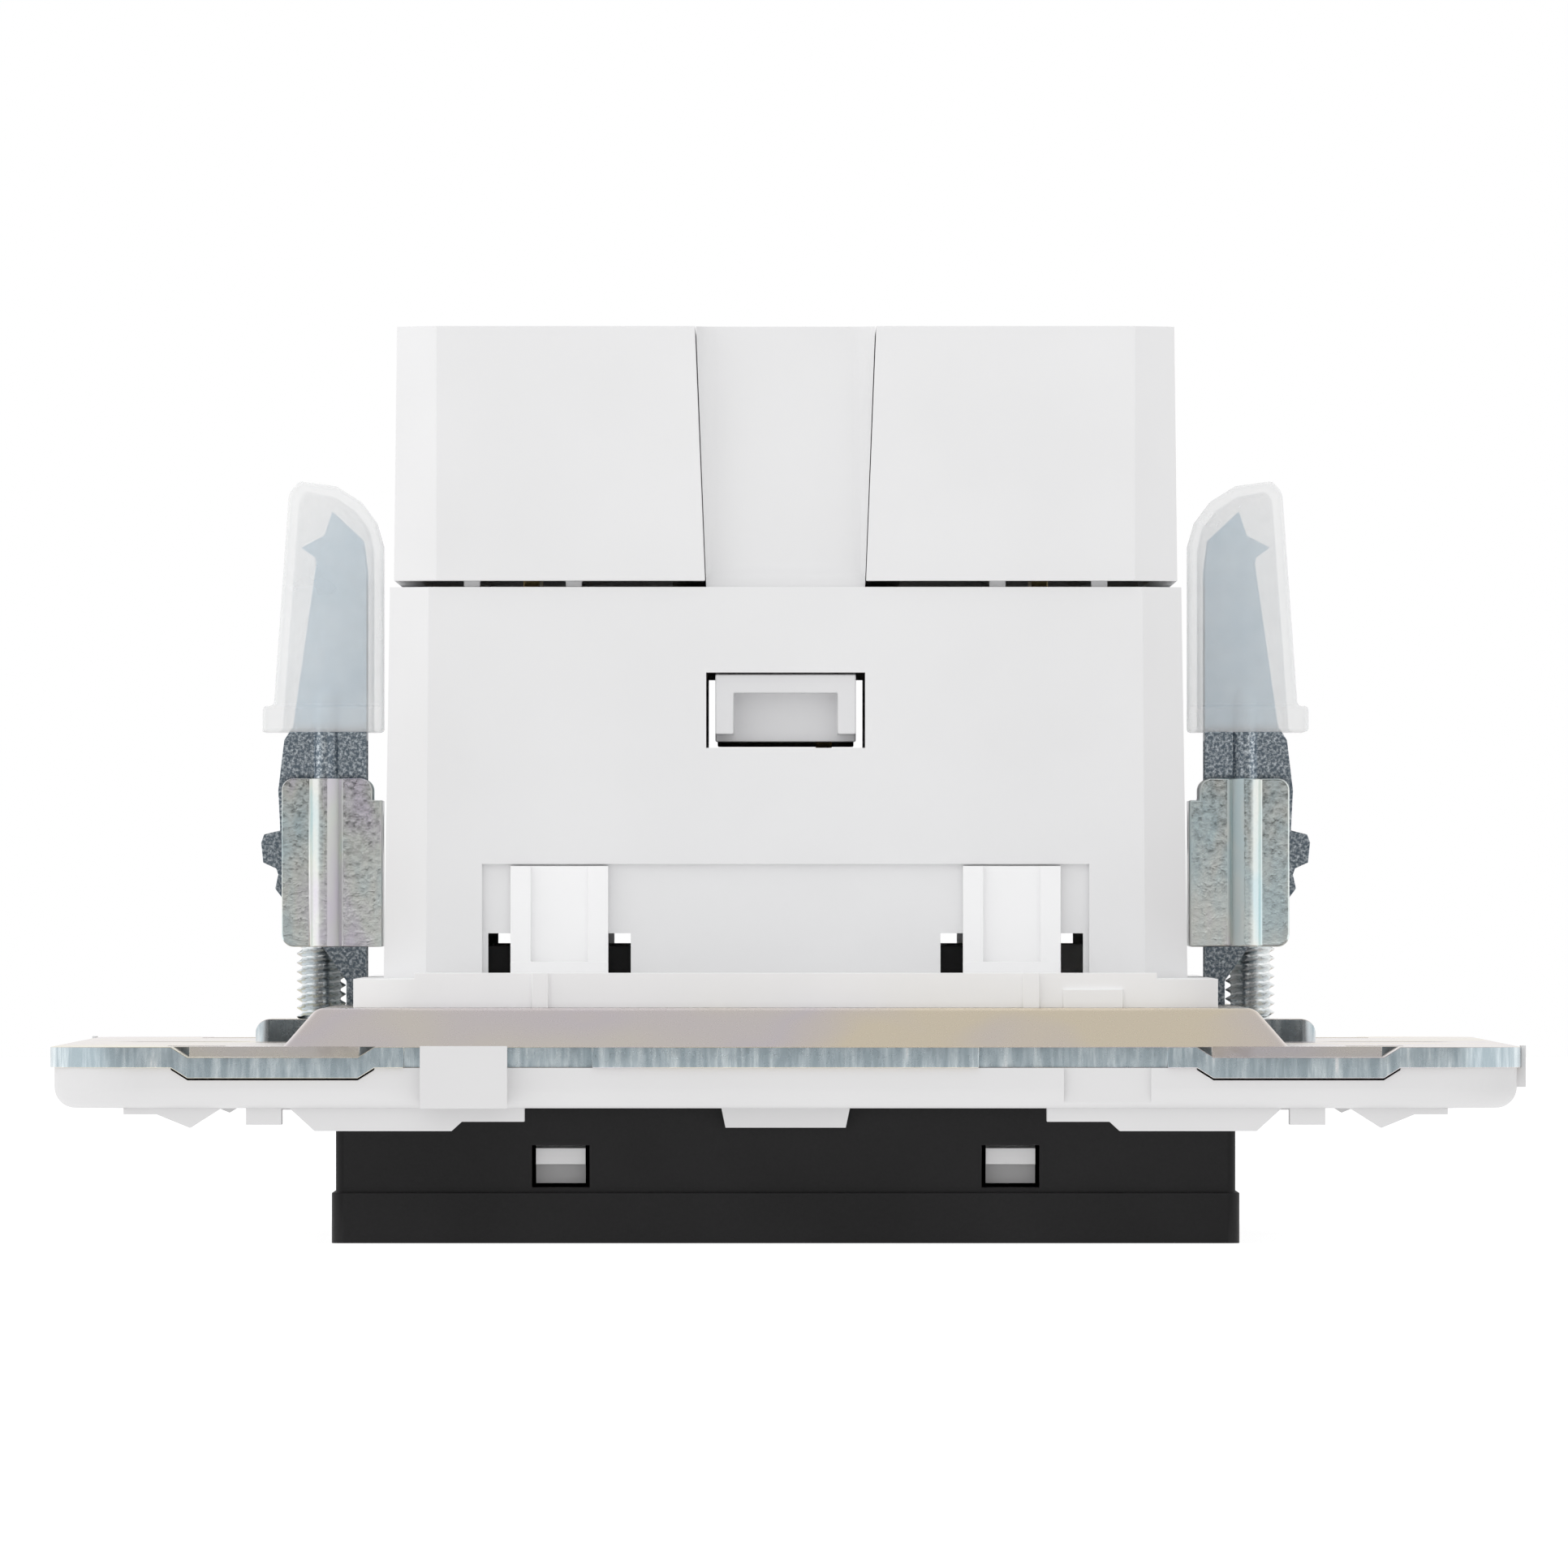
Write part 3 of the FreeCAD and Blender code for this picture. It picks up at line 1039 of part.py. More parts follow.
def make_shutter_spring(name, end):
    """Coil spring along X on top of a shutter, from the shutter's horn to the base's post."""
    wire = D["coil_wire"].value
    radius = D["coil_radius"].value - wire
    length = 2 * (coil_half.value - wire)
    path = Part.makeHelix(length / D["coil_turns"].value, length, radius)
    start = Part.Wire([Part.makeCircle(wire, Vector(radius, 0, 0), Vector(0, 1, 0))])
    coil = add("Part::Feature", name + "_coil")
    coil.Shape = Part.Wire(path).makePipeShell([start], True, True)
    coil.Placement = FreeCAD.Placement(Vector(), ALONG_X)
    bind(coil, Placement__Base__x=D["coil_wire"] - coil_half, Placement__Base__y=cup_y * end,
         Placement__Base__z=spring_low + D["coil_radius"])
    return node(name, coil)


def make_contact_carrier():
    """Insulating plate over the contacts with a latch at each end."""
    low, high = carrier_low, carrier_low + D["carrier_thick"]
    half_x = house_x - D["housing_wall"] - D["carrier_gap_x"]
    inner_y = housing_inside_y - D["carrier_gap_y"]
    plate = pad("carrier_plate", "XY", chamfered(half_x, inner_y, D["housing_chamfer"]), low, high)
    slot = D["bus_riser_half"] + D["seat"] * 2
    play = D["seat"] / 2
    bus_slot = (bus_inner - play, bus_inner + D["metal"] + play)
    tools = [box("carrier_slot", mirrored_span(*bus_slot, side), (-slot, slot), (low - CLEAR, high + CLEAR))
             for side in SIDES]
    tools.append(riser_box("carrier_earth_slot", D["seat"], low - CLEAR, high + CLEAR))
    parts = [cut("carrier_cut", plate, *tools)]
    latch_half = D["latch_half"] - D["latch_gap"]
    leg = D["latch_leg"]
    top = latch_low + D["latch_high"] - D["seat"]
    for end in SIDES:
        tongue = mirrored_span(inner_y - leg, inner_y, end)
        parts.append(box("latch_tongue", (-latch_half, latch_half), tongue,
                         (latch_low + D["seat"] * 3, low + D["seat"])))
        front = mirrored_span(inner_y - D["seat"] * 2, house_y - D["carrier_gap_y"], end)
        parts.append(box("latch_bar", (-latch_half, latch_half), front, (top - leg, top)))
        for side in SIDES:
            parts.append(box("latch_leg", mirrored_span(latch_half - leg, latch_half, side), front,
                             (latch_low + D["latch_gap"] * 1.5, top)))
    return node("contact_carrier", fuse("carrier_body", *parts))


def make_claw_screw(name, side):
    """Pan head screw with a cross slot; the thread is drawn as its outer cylinder."""
    x = D["screw_at"] * side
    head_top = dome_under - D["seat"] / 2
    head_low = head_top - D["screw_head_high"]
    head = rod("screw_head", D["screw_head"], (x, 0, head_low), D["screw_head_high"])
    shank = rod("screw_shank", D["screw_shank"], (x, 0, head_low), D["screw_tip"] - head_low)
    long, narrow = D["cross_long"], D["cross_wide"]
    deep = (head_low - CLEAR, head_low + D["cross_deep"])
    cross = [box("cross", span(x, long), span(0, narrow), deep),
             box("cross", span(x, narrow), span(0, long), deep)]
    return node(name, cut(name + "_slotted", fuse(name + "_solid", head, shank), *cross))


def make_claw_cage(name, side):
    """Bent sheet cage: inner web and two side plates, each with a bead."""
    low, high = D["cage_low"], D["cage_low"] + D["cage_high"]
    inner, web = D["cage_inner"], D["cage_web"]
    outer_y, inner_y = D["cage_half_y"], D["cage_half_y"] - D["cage_sheet"]
    back_plate = box("cage_web", mirrored_span(inner, inner + web, side), (-outer_y, outer_y),
                     (low, high - D["cage_step"]))
    parts = [back_plate]
    for end in SIDES:
        parts.append(rounded_sheet("cage_side", mirrored_span(inner + web, D["cage_outer"], side),
                                   mirrored_span(inner_y, outer_y, end), (low, high), D["cage_round"]))
        # The bend between the web and the side.
        parts.append(box("cage_bend", mirrored_span(inner, inner + web + D["cage_round"], side),
                         mirrored_span(inner_y, outer_y, end), (low, high - D["cage_step"])))
        bead_y = (outer_y - D["bead_sunk"]) * end
        parts.append(rod("cage_bead", D["bead_radius"], (D["bead_at"] * side, bead_y, low),
                         high - low))
    tools = [box("cage_room", mirrored_span(inner + web, D["cage_outer"] + CLEAR, side), (-inner_y, inner_y),
                 (low - CLEAR, high + CLEAR)),
             rod("cage_hole", web * 2, ((inner - CLEAR) * side if side > 0 else -(inner + 2 * CLEAR), 0,
                                        nut_middle + D["nut_high"]), 3 * CLEAR, ALONG_X)]
    return node(name, cut(name + "_bent", fuse(name + "_solid", *parts), *tools))


def make_claw_nut(name, side):
    """Square nut on the screw, with a trunnion at each side that seats on the cage."""
    x = D["screw_at"] * side
    inner = D["blade_half_y"] - D["blade_sheet"] - D["slot_clear"]
    cage_face = D["cage_half_y"] - D["cage_sheet"]
    block = box("nut_block", span(x, D["nut_wide"]), (-inner, inner), span(nut_middle, D["nut_high"]))
    axle = rod("nut_trunnions", D["trunnion"], (x, -cage_face, nut_middle), cage_face * 2, ALONG_Y)
    bore = rod("nut_bore", D["screw_shank"] + D["running"], (x, 0, nut_middle - D["nut_high"]), D["nut_high"] * 2)
    return node(name, cut(name + "_bored", fuse(name + "_solid", block, axle), bore))


def cam_end():
    """Where the trunnion stands in the blade's plate once the blade is fully tilted."""
    tilt = D["blade_tilt"]
    turned_cos = Size(f"cos({tilt.text} * 1deg)", math.cos(math.radians(tilt.value)))
    turned_sin = Size(f"sin({tilt.text} * 1deg)", math.sin(math.radians(tilt.value)))
    across = D["screw_at"] - pivot_x
    up = nut_middle - D["nut_travel"] - pivot_z
    return pivot_x + across * turned_cos - up * turned_sin, pivot_z + across * turned_sin + up * turned_cos


def make_claw_blade(name, side):
    """Bent sheet claw: two toothed plates with slanted cam slots, ribs and feet, joined by a web."""
    inner, tip = D["blade_inner"], D["blade_tip"]
    neck = inner + D["foot_wide"]
    toe = D["foot_wide"] / 2
    hook_low, hook_top = dome_under - D["plate_thick"], dome_under - D["plate_thick"] / 2
    cage = D["cage_low"]
    top = cage + D["cage_high"]
    outline = [
        # foot and neck
        (inner - toe, hook_low), (neck + toe, hook_low), (neck + toe, hook_top), (neck, hook_top),
        (neck, cage - 1.7), (inner + 1.7, cage - 0.7), (inner + 2.4, cage + 0.3), (inner + 3.7, cage + 0.7),
        # teeth
        (inner + 4.1, cage + 2.3), (inner + 4.55, cage + 2.9), (inner + 4.4, cage + 3.6), (inner + 4.5, cage + 3.9),
        (inner + 5.15, cage + 4.2), (inner + 5.25, cage + 5.2), (inner + 5.1, cage + 5.6), (inner + 4.3, cage + 5.8),
        (inner + 4.4, top - 0.6), (inner + 4.1, top + 1.9), (inner + 3.65, top + 2.6),
        # barb and tip
        (inner + 2.5, tip - 2.6), (inner + 2.55, tip - 2.3), (inner + 3.25, tip - 1.8), (inner + 2.1, tip - 1.2),
        (inner + 1.7, tip), (inner + 0.2, tip - 1.4), (inner, tip - 3.0),
        # back to the foot
        (inner, hook_top), (inner - toe, hook_top)]
    corners = [(size(across) * side, up) for across, up in outline]
    half_y, sheet_thick = D["blade_half_y"], D["blade_sheet"]
    parts = [box("blade_web", mirrored_span(inner, inner + sheet_thick, side), (-half_y, half_y),
                 (D["blade_web_low"], tip - 3.5))]
    rib = D["blade_rib"]
    rib_y = half_y + D["blade_rib_out"] - rib
    for end in SIDES:
        across_y = mirrored_span(half_y - sheet_thick, half_y, end)
        parts.append(pad("blade_plate", "XZ", corners, *across_y))
        parts.append(rod("blade_lobe", D["foot_lobe"], (pivot_x * side, across_y[0], pivot_z), sheet_thick, ALONG_Y))
        parts.append(rod("blade_rib", rib, (D["bead_at"] * side, rib_y * end, D["blade_rib_low"]),
                         D["blade_rib_top"] - rib - D["blade_rib_low"]))
        parts.append(ball("blade_rib_top", rib, (D["bead_at"] * side, rib_y * end, D["blade_rib_top"] - rib)))
    half = D["trunnion"] + D["cam_clear"]
    end_x, end_z = cam_end()
    slot_low, slot_length = -half_y - CLEAR, (half_y + CLEAR) * 2
    slot = pad("cam_slot", "XZ", [((end_x - half) * side, end_z), ((end_x + half) * side, end_z),
                                  ((D["screw_at"] + half) * side, nut_middle),
                                  ((D["screw_at"] - half) * side, nut_middle)], slot_low, -slot_low)
    ends = [rod("cam_end", half, (x * side, slot_low, z), slot_length, ALONG_Y)
            for x, z in ((D["screw_at"], nut_middle), (end_x, end_z))]
    return node(name, cut(name + "_bent", fuse(name + "_solid", *parts), slot, *ends))


def make_claw_sleeve(name, side):
    """Soft plastic cap over the claw's points, open towards the plate, with a lip."""
    low, high = D["sleeve_low"], D["sleeve_top"]
    inner, outer, lean, wall = D["sleeve_inner"], D["sleeve_outer"], D["sleeve_lean"], D["sleeve_wall"]
    half = D["sleeve_half_y"]
    shell = [(inner, low), (outer, low), (outer - lean, high - 0.6), (outer - lean - 0.5, high),
             (inner + 2.3, high - 0.25), (inner + 1.1, high - 1.0), (inner + 0.35, high - 2.0), (inner, high - 3.2)]
    hollow = [(inner + wall, low - CLEAR), (outer - wall + 0.05, low - CLEAR), (outer - lean - wall, high - 1.0),
              (outer - lean - wall - 0.3, high - wall), (inner + 2.35, high - wall - 0.3),
              (inner + 1.4, high - wall - 0.95), (inner + 0.75, high - wall - 1.8), (inner + wall, high - 3.4)]
    solid = pad("sleeve_shell", "XZ", [(size(x) * side, z) for x, z in shell], -half, half)
    room = pad("sleeve_room", "XZ", [(size(x) * side, z) for x, z in hollow], wall - half, half - wall)
    lip = box("sleeve_lip", mirrored_span(inner, outer + D["lip_out"], side), (-half - 0.4, half + 0.4),
              (low, low + D["lip_high"]))
    return node(name, cut(name + "_cap", fuse(name + "_solid", solid, lip), room))


make_front_cover()
make_support_frame()
make_mounting_plate()
make_plate_rivets()
make_socket_base()
make_contact_housing()
make_contact_carrier()
make_earth_strap()
make_clamp_springs("earth_clamp_springs", size(-2.3), size(-0.6), (-D["wire_spread"], D["wire_spread"]))
make_release_button("release_button_earth", 0, narrow=True)
for pole, pole_side in (("live", -1), ("neutral", 1)):
    make_terminal_cover(f"terminal_cover_{pole}", pole_side)
    make_busbar(f"{pole}_busbar", pole_side)
    block_inside = D["block_inner"] + D["block_taper"] + D["block_wall"]
    make_clamp_springs(f"{pole}_clamp_springs", block_inside * pole_side,
                       (bus_inner - 0.4) * pole_side, (-D["wire_spread"], D["wire_spread"]))
    make_release_button(f"release_button_{pole}", wire_at * pole_side)
    for place_name, place_end in (("near", -1), ("far", 1)):
        make_contact(f"{pole}_contact_{place_name}", pole_side, place_end)
for place_name, place_end in (("near", -1), ("far", 1)):
    make_shutter(f"shutter_{place_name}", place_end)
    make_shutter_spring(f"shutter_spring_{place_name}", place_end)
for side_name, claw_side in (("left", -1), ("right", 1)):
    make_claw_screw(f"claw_screw_{side_name}", claw_side)
    make_claw_cage(f"claw_cage_{side_name}", claw_side)
    make_claw_nut(f"claw_nut_{side_name}", claw_side)
    make_claw_blade(f"claw_blade_{side_name}", claw_side)
    make_claw_sleeve(f"claw_sleeve_{side_name}", claw_side)

doc.recompute()

for thing in doc.Objects:
    if "Invalid" in thing.State or "Error" in thing.State:
        raise SystemExit(f"{thing.Label} did not build: {thing.State}")
for name, thing in nodes.items():
    if thing.Shape.isNull() or not thing.Shape.isValid():
        raise SystemExit(f"{name} has no valid shape")

os.makedirs("parts", exist_ok=True)
for name, thing in nodes.items():
    thing.Shape.exportStep(f"parts/{name}.step")
print(f"{len(nodes)} pieces written")
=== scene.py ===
import json
import math

import bmesh
import bpy
from mathutils.geometry import tessellate_polygon
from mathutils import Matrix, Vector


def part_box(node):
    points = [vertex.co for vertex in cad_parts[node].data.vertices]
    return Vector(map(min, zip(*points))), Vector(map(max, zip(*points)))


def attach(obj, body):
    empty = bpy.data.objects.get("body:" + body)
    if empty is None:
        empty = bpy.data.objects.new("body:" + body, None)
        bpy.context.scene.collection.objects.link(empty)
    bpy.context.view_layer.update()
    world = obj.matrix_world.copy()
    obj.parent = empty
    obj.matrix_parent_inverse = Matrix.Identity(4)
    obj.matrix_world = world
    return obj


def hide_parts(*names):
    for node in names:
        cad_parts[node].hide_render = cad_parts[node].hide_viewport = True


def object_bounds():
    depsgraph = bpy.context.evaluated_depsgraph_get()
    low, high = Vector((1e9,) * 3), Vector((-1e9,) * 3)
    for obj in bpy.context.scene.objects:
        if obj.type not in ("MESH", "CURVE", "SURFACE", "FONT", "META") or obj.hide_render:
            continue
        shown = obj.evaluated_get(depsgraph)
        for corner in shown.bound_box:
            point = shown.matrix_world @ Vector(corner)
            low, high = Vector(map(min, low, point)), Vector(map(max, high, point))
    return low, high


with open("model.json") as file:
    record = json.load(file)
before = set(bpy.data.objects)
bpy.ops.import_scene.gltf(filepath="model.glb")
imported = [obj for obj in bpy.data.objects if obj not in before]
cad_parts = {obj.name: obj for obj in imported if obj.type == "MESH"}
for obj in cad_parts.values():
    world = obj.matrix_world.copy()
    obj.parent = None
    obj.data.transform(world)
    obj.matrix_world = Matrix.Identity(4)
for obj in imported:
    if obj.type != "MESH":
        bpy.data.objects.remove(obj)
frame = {"nodes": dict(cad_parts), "record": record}
cad_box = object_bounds()
NODES = frame["nodes"]
MM = 0.001


# ---------------------------------------------------------------- materials

class Shader:
    """A node material under construction, with object coordinates in metres."""

    def __init__(self, name):
        self.material = bpy.data.materials.new(name)
        self.material.use_nodes = True
        self.tree = self.material.node_tree
        self.surface = self.tree.nodes["Principled BSDF"]
        self.place = self.add("ShaderNodeTexCoord").outputs["Object"]

    def add(self, kind, **values):
        """A node with its settings and socket values."""
        made = self.tree.nodes.new(kind)
        for name, value in values.items():
            if name in made.inputs:
                made.inputs[name].default_value = value
            else:
                setattr(made, name, value)
        return made

    def link(self, source, target):
        self.tree.links.new(source, target)

    def set(self, **values):
        """Constant values on the shader's own sockets; an underscore stands for a space."""
        for name, value in values.items():
            self.surface.inputs[name.replace("_", " ")].default_value = value

    def noise(self, size, detail=3.0, stretch=(1, 1, 1), roughness=0.55):
        """Noise whose features are about size metres across."""
        scaled = self.add("ShaderNodeMapping")
        scaled.inputs["Scale"].default_value = stretch
        self.link(self.place, scaled.inputs["Vector"])
        texture = self.add("ShaderNodeTexNoise")
        texture.inputs["Scale"].default_value = 1.0 / size
        texture.inputs["Detail"].default_value = detail
        texture.inputs["Roughness"].default_value = roughness
        self.link(scaled.outputs["Vector"], texture.inputs["Vector"])
        return texture.outputs["Fac"]

    def ramp(self, factor, stops):
        """Colours at positions from 0 to 1."""
        made = self.add("ShaderNodeValToRGB")
        elements = made.color_ramp.elements
        while len(elements) < len(stops):
            elements.new(0.5)
        for element, (position, colour) in zip(elements, stops):
            element.position = position
            element.color = (*colour, 1.0)
        self.link(factor, made.inputs["Fac"])
        return made.outputs["Color"]

    def range(self, factor, low, high, from_low=0.3, from_high=0.7):
        """A factor mapped to a range of values."""
        made = self.add("ShaderNodeMapRange")
        made.inputs["From Min"].default_value = from_low
        made.inputs["From Max"].default_value = from_high
        made.inputs["To Min"].default_value = low
        made.inputs["To Max"].default_value = high
        self.link(factor, made.inputs["Value"])
        return made.outputs["Result"]

    def mix(self, factor, one, other):
        """A colour that goes from one to the other with a factor."""
        made = self.add("ShaderNodeMix", data_type="RGBA")
        self.link(factor, made.inputs[0])
        self.link(one, made.inputs[6])
        self.link(other, made.inputs[7])
        return made.outputs[2]

    def bump(self, *layers):
        """Bumps of (height factor, distance in metres, strength), one on another."""
        normal = None
        for height, distance, strength in layers:
            made = self.add("ShaderNodeBump")
            made.inputs["Distance"].default_value = distance
            made.inputs["Strength"].default_value = strength
            self.link(height, made.inputs["Height"])
            if normal is not None:
                self.link(normal, made.inputs["Normal"])
            normal = made.outputs["Normal"]
        self.link(normal, self.surface.inputs["Normal"])

    def axis(self, coordinates, name, absolute=False):
        """One component of a vector, or its size without the sign."""
        parts = self.add("ShaderNodeSeparateXYZ")
        self.link(coordinates, parts.inputs["Vector"])
        if not absolute:
            return parts.outputs[name]
        size = self.add("ShaderNodeMath", operation="ABSOLUTE")
        self.link(parts.outputs[name], size.inputs[0])
        return size.outputs["Value"]


def tinted(colour, share):
    """A colour made lighter or darker by a share."""
    return tuple(min(1.0, channel * (1.0 + share)) for channel in colour)


def moulded(name, colour, roughness, grain, depth, spread=0.02, specular=0.5):
    """Moulded plastic: fine erosion grain, faint waviness, slight tone changes."""
    shader = Shader(name)
    tone = shader.noise(9 * MM, detail=2)
    shader.link(shader.ramp(tone, [(0.35, tinted(colour, -spread)), (0.65, tinted(colour, spread))]),
                shader.surface.inputs["Base Color"])
    fine = shader.noise(grain, detail=4)
    shader.link(shader.range(fine, roughness - 0.05, roughness + 0.07), shader.surface.inputs["Roughness"])
    waves = shader.noise(6 * MM, detail=1)
    shader.bump((waves, 0.02 * MM, 0.25), (fine, depth, 0.6))
    shader.set(Specular_IOR_Level=specular, IOR=1.49)
    return shader.material


def plated(name, stops, roughness, bead, depth, patch=5 * MM, stretch=(1, 1, 1), edge_stops=None):
    """Plated metal: tints in patches and a beaded grain; edge_stops colours streaks on sheared edges."""
    shader = Shader(name)
    patches = shader.noise(patch, detail=3, stretch=stretch, roughness=0.6)
    colour = shader.ramp(patches, stops)
    grain = shader.noise(bead, detail=3)
    layers = [(grain, depth, 0.6), (shader.noise(bead * 5, detail=2), depth * 3, 0.3)]
    if edge_stops:
        streaks = shader.noise(0.45 * MM, detail=4, stretch=(1, 1, 0.12), roughness=0.62)
        level = shader.axis(shader.add("ShaderNodeTexCoord").outputs["Normal"], "Z", absolute=True)
        on_edge = shader.range(level, 1.0, 0.0, 0.1, 0.4)
        colour = shader.mix(on_edge, colour, shader.ramp(streaks, edge_stops))
        layers.append((streaks, 0.008 * MM, 0.3))
    shader.link(colour, shader.surface.inputs["Base Color"])
    shader.link(shader.range(grain, roughness - 0.05, roughness + 0.08), shader.surface.inputs["Roughness"])
    shader.bump(*layers)
    shader.set(Metallic=1.0)
    return shader.material


def blade_steel_painted_haze(name, lower, upper, change):
    """Blue zinc: speckled metal on the bare part; above the given height, inside the frosted sleeve, matt
    and pale, the pale colour a painted haze of the light that the sleeve scatters.
    """
    shader = Shader(name)
    above = shader.range(shader.axis(shader.place, "Z"), 0.0, 1.0, change, change + 0.5 * MM)
    speckle = shader.noise(0.16 * MM, detail=2, roughness=0.7)
    cloud = shader.noise(2.5 * MM, detail=2)
    # Painted light: above the height the colour turns pale blue, a painted haze standing in for light
    # scattered by the frosted sleeve.
    colour = shader.mix(above, shader.ramp(speckle, lower), shader.ramp(cloud, upper))
    shader.link(colour, shader.surface.inputs["Base Color"])
    shader.link(shader.range(above, 1.0, 0.25, 0.0, 1.0), shader.surface.inputs["Metallic"])
    shader.link(shader.range(above, 0.3, 0.6, 0.0, 1.0), shader.surface.inputs["Roughness"])
    shader.bump((speckle, 0.012 * MM, 0.5))
    return shader.material


def frosted(name):
    """Milky soft plastic that shows what lies behind it."""
    shader = Shader(name)
    cloud = shader.noise(3 * MM, detail=2)
    shader.link(shader.ramp(cloud, [(0.3, (0.86, 0.86, 0.86)), (0.7, (0.90, 0.90, 0.90))]),
                shader.surface.inputs["Base Color"])
    fine = shader.noise(0.25 * MM, detail=3)
    shader.link(shader.range(fine, 0.3, 0.42), shader.surface.inputs["Roughness"])
    shader.link(shader.range(cloud, 0.27, 0.33), shader.surface.inputs["Alpha"])
    shader.bump((fine, 0.006 * MM, 0.3))
    shader.set(IOR=1.5, Specular_IOR_Level=0.4)
    return shader.material


WHITE = moulded("white_moulded", (0.800, 0.800, 0.806), 0.42, 0.18 * MM, 0.004 * MM, spread=0.012)
FRAME_WHITE = moulded("white_frame", (0.690, 0.686, 0.690), 0.45, 0.2 * MM, 0.004 * MM, spread=0.012)
# The socket base's white is the white plastic made lighter: painted light that offsets the shade the base
# lies in.
BASE_WHITE_PAINTED_LIGHT = moulded("white_base_painted_light", (0.93, 0.93, 0.935), 0.42, 0.18 * MM, 0.004 * MM, spread=0.012)
INNER_WHITE = moulded("white_inner", (0.74, 0.74, 0.75), 0.5, 0.25 * MM, 0.006 * MM)
DARK = moulded("anthracite_moulded", (0.0085, 0.0082, 0.0088), 0.5, 0.14 * MM, 0.012 * MM, spread=0.2,
               specular=0.3)
ORANGE = moulded("button_moulded", (0.72, 0.27, 0.06), 0.42, 0.2 * MM, 0.006 * MM)
TINTS = [(0.34, (0.86, 0.80, 0.58)), (0.46, (0.80, 0.74, 0.68)), (0.54, (0.76, 0.70, 0.72)),
         (0.66, (0.86, 0.76, 0.60))]
SHEARED = [(0.40, (0.42, 0.50, 0.54)), (0.54, (0.56, 0.64, 0.68)), (0.64, (0.72, 0.80, 0.83)),
           (0.74, (0.95, 0.97, 0.98))]
ZINC = plated("zinc_iridescent", TINTS, 0.24, 0.5 * MM, 0.0015 * MM, patch=16 * MM, stretch=(0.7, 1, 1),
              edge_stops=SHEARED)
CAGE_TINTS = [(0.36, (0.66, 0.78, 0.80)), (0.5, (0.80, 0.82, 0.78)), (0.64, (0.78, 0.74, 0.82))]
CAGE_ZINC = plated("zinc_cage", CAGE_TINTS, 0.14, 0.22 * MM, 0.003 * MM, patch=3 * MM, stretch=(1, 1, 0.4))
# The upper colours are painted haze: light scattered by the frosted sleeve over the blade.
BLUE_ZINC = blade_steel_painted_haze("zinc_blue_painted_haze", [(0.44, (0.16, 0.20, 0.24)), (0.70, (0.78, 0.84, 0.88))],
                        [(0.35, (0.50, 0.68, 0.80)), (0.65, (0.56, 0.72, 0.82))],
                        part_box("claw_sleeve_left")[0].z)
SCREW_ZINC = plated("zinc_bright", [(0.35, (0.70, 0.75, 0.78)), (0.65, (0.86, 0.88, 0.88))],
                    0.2, 0.1 * MM, 0.004 * MM)
BRASS = plated("brass_plain", [(0.35, (0.80, 0.60, 0.28)), (0.65, (0.88, 0.70, 0.38))],
               0.3, 0.12 * MM, 0.004 * MM)
NICKEL = plated("nickel_rivet", [(0.35, (0.76, 0.74, 0.68)), (0.65, (0.86, 0.84, 0.79))],
                0.25, 0.12 * MM, 0.004 * MM)
SPRING = plated("spring_steel", [(0.35, (0.62, 0.62, 0.62)), (0.65, (0.74, 0.74, 0.73))],
                0.3, 0.1 * MM, 0.003 * MM)
FROSTED = frosted("frosted_sleeve")

FINISH = {
    "anthracite_plastic": DARK, "white_plastic": WHITE, "zinc_plate": ZINC, "zinc_screw": SCREW_ZINC,
    "blue_zinc": BLUE_ZINC, "frosted_plastic": FROSTED, "contact_metal": BRASS, "brass": NICKEL,
    "spring_steel": SPRING, "button_plastic": ORANGE,
}


# ---------------------------------------------------------------- carried nodes

# Edge radius by the start of a node's name; every other node has the plain one.
ROUNDING = {
    "front_cover": 0.30 * MM, "support_frame": 0.22 * MM, "mounting_plate": 0.22 * MM,
    "contact_housing": 0.10 * MM, "terminal_cover": 0.10 * MM, "socket_base": 0.14 * MM,
    "claw_sleeve": 0.18 * MM, "claw_cage": 0.22 * MM,
}
PLAIN_ROUNDING = 0.08 * MM


def rounding(name):
    """Edge radius of a node, by the start of its name."""
    for start, radius in ROUNDING.items():
        if name.startswith(start):
            return radius
    return PLAIN_ROUNDING


def soften(piece, radius):
    """Clean flat faces, round the sharp edges and even out the shading."""
    weld = piece.modifiers.new("weld", "WELD")
    weld.merge_threshold = 0.002 * MM
    flat = piece.modifiers.new("flat_faces", "DECIMATE")
    flat.decimate_type = "DISSOLVE"
    flat.angle_limit = math.radians(1.0)
    edges = piece.modifiers.new("round_edges", "BEVEL")
    edges.width = radius
    edges.segments = 2
    edges.limit_method = "ANGLE"
    edges.angle_limit = math.radians(35)
    edges.use_clamp_overlap = True
    even = piece.modifiers.new("even_shading", "WEIGHTED_NORMAL")
    even.keep_sharp = True
    for face in piece.data.polygons:
        face.use_smooth = True


SPECIAL = {"contact_carrier": INNER_WHITE, "socket_base": BASE_WHITE_PAINTED_LIGHT, "support_frame": FRAME_WHITE,
           "claw_cage_left": CAGE_ZINC, "claw_cage_right": CAGE_ZINC}
slots = {item["node"]: item["material_slot"] for item in frame["record"]["subparts"]}
for name, piece in NODES.items():
    piece.data.materials.clear()
    piece.data.materials.append(SPECIAL.get(name, FINISH[slots[name]]))
    soften(piece, rounding(name))


# ---------------------------------------------------------------- threaded claw screws

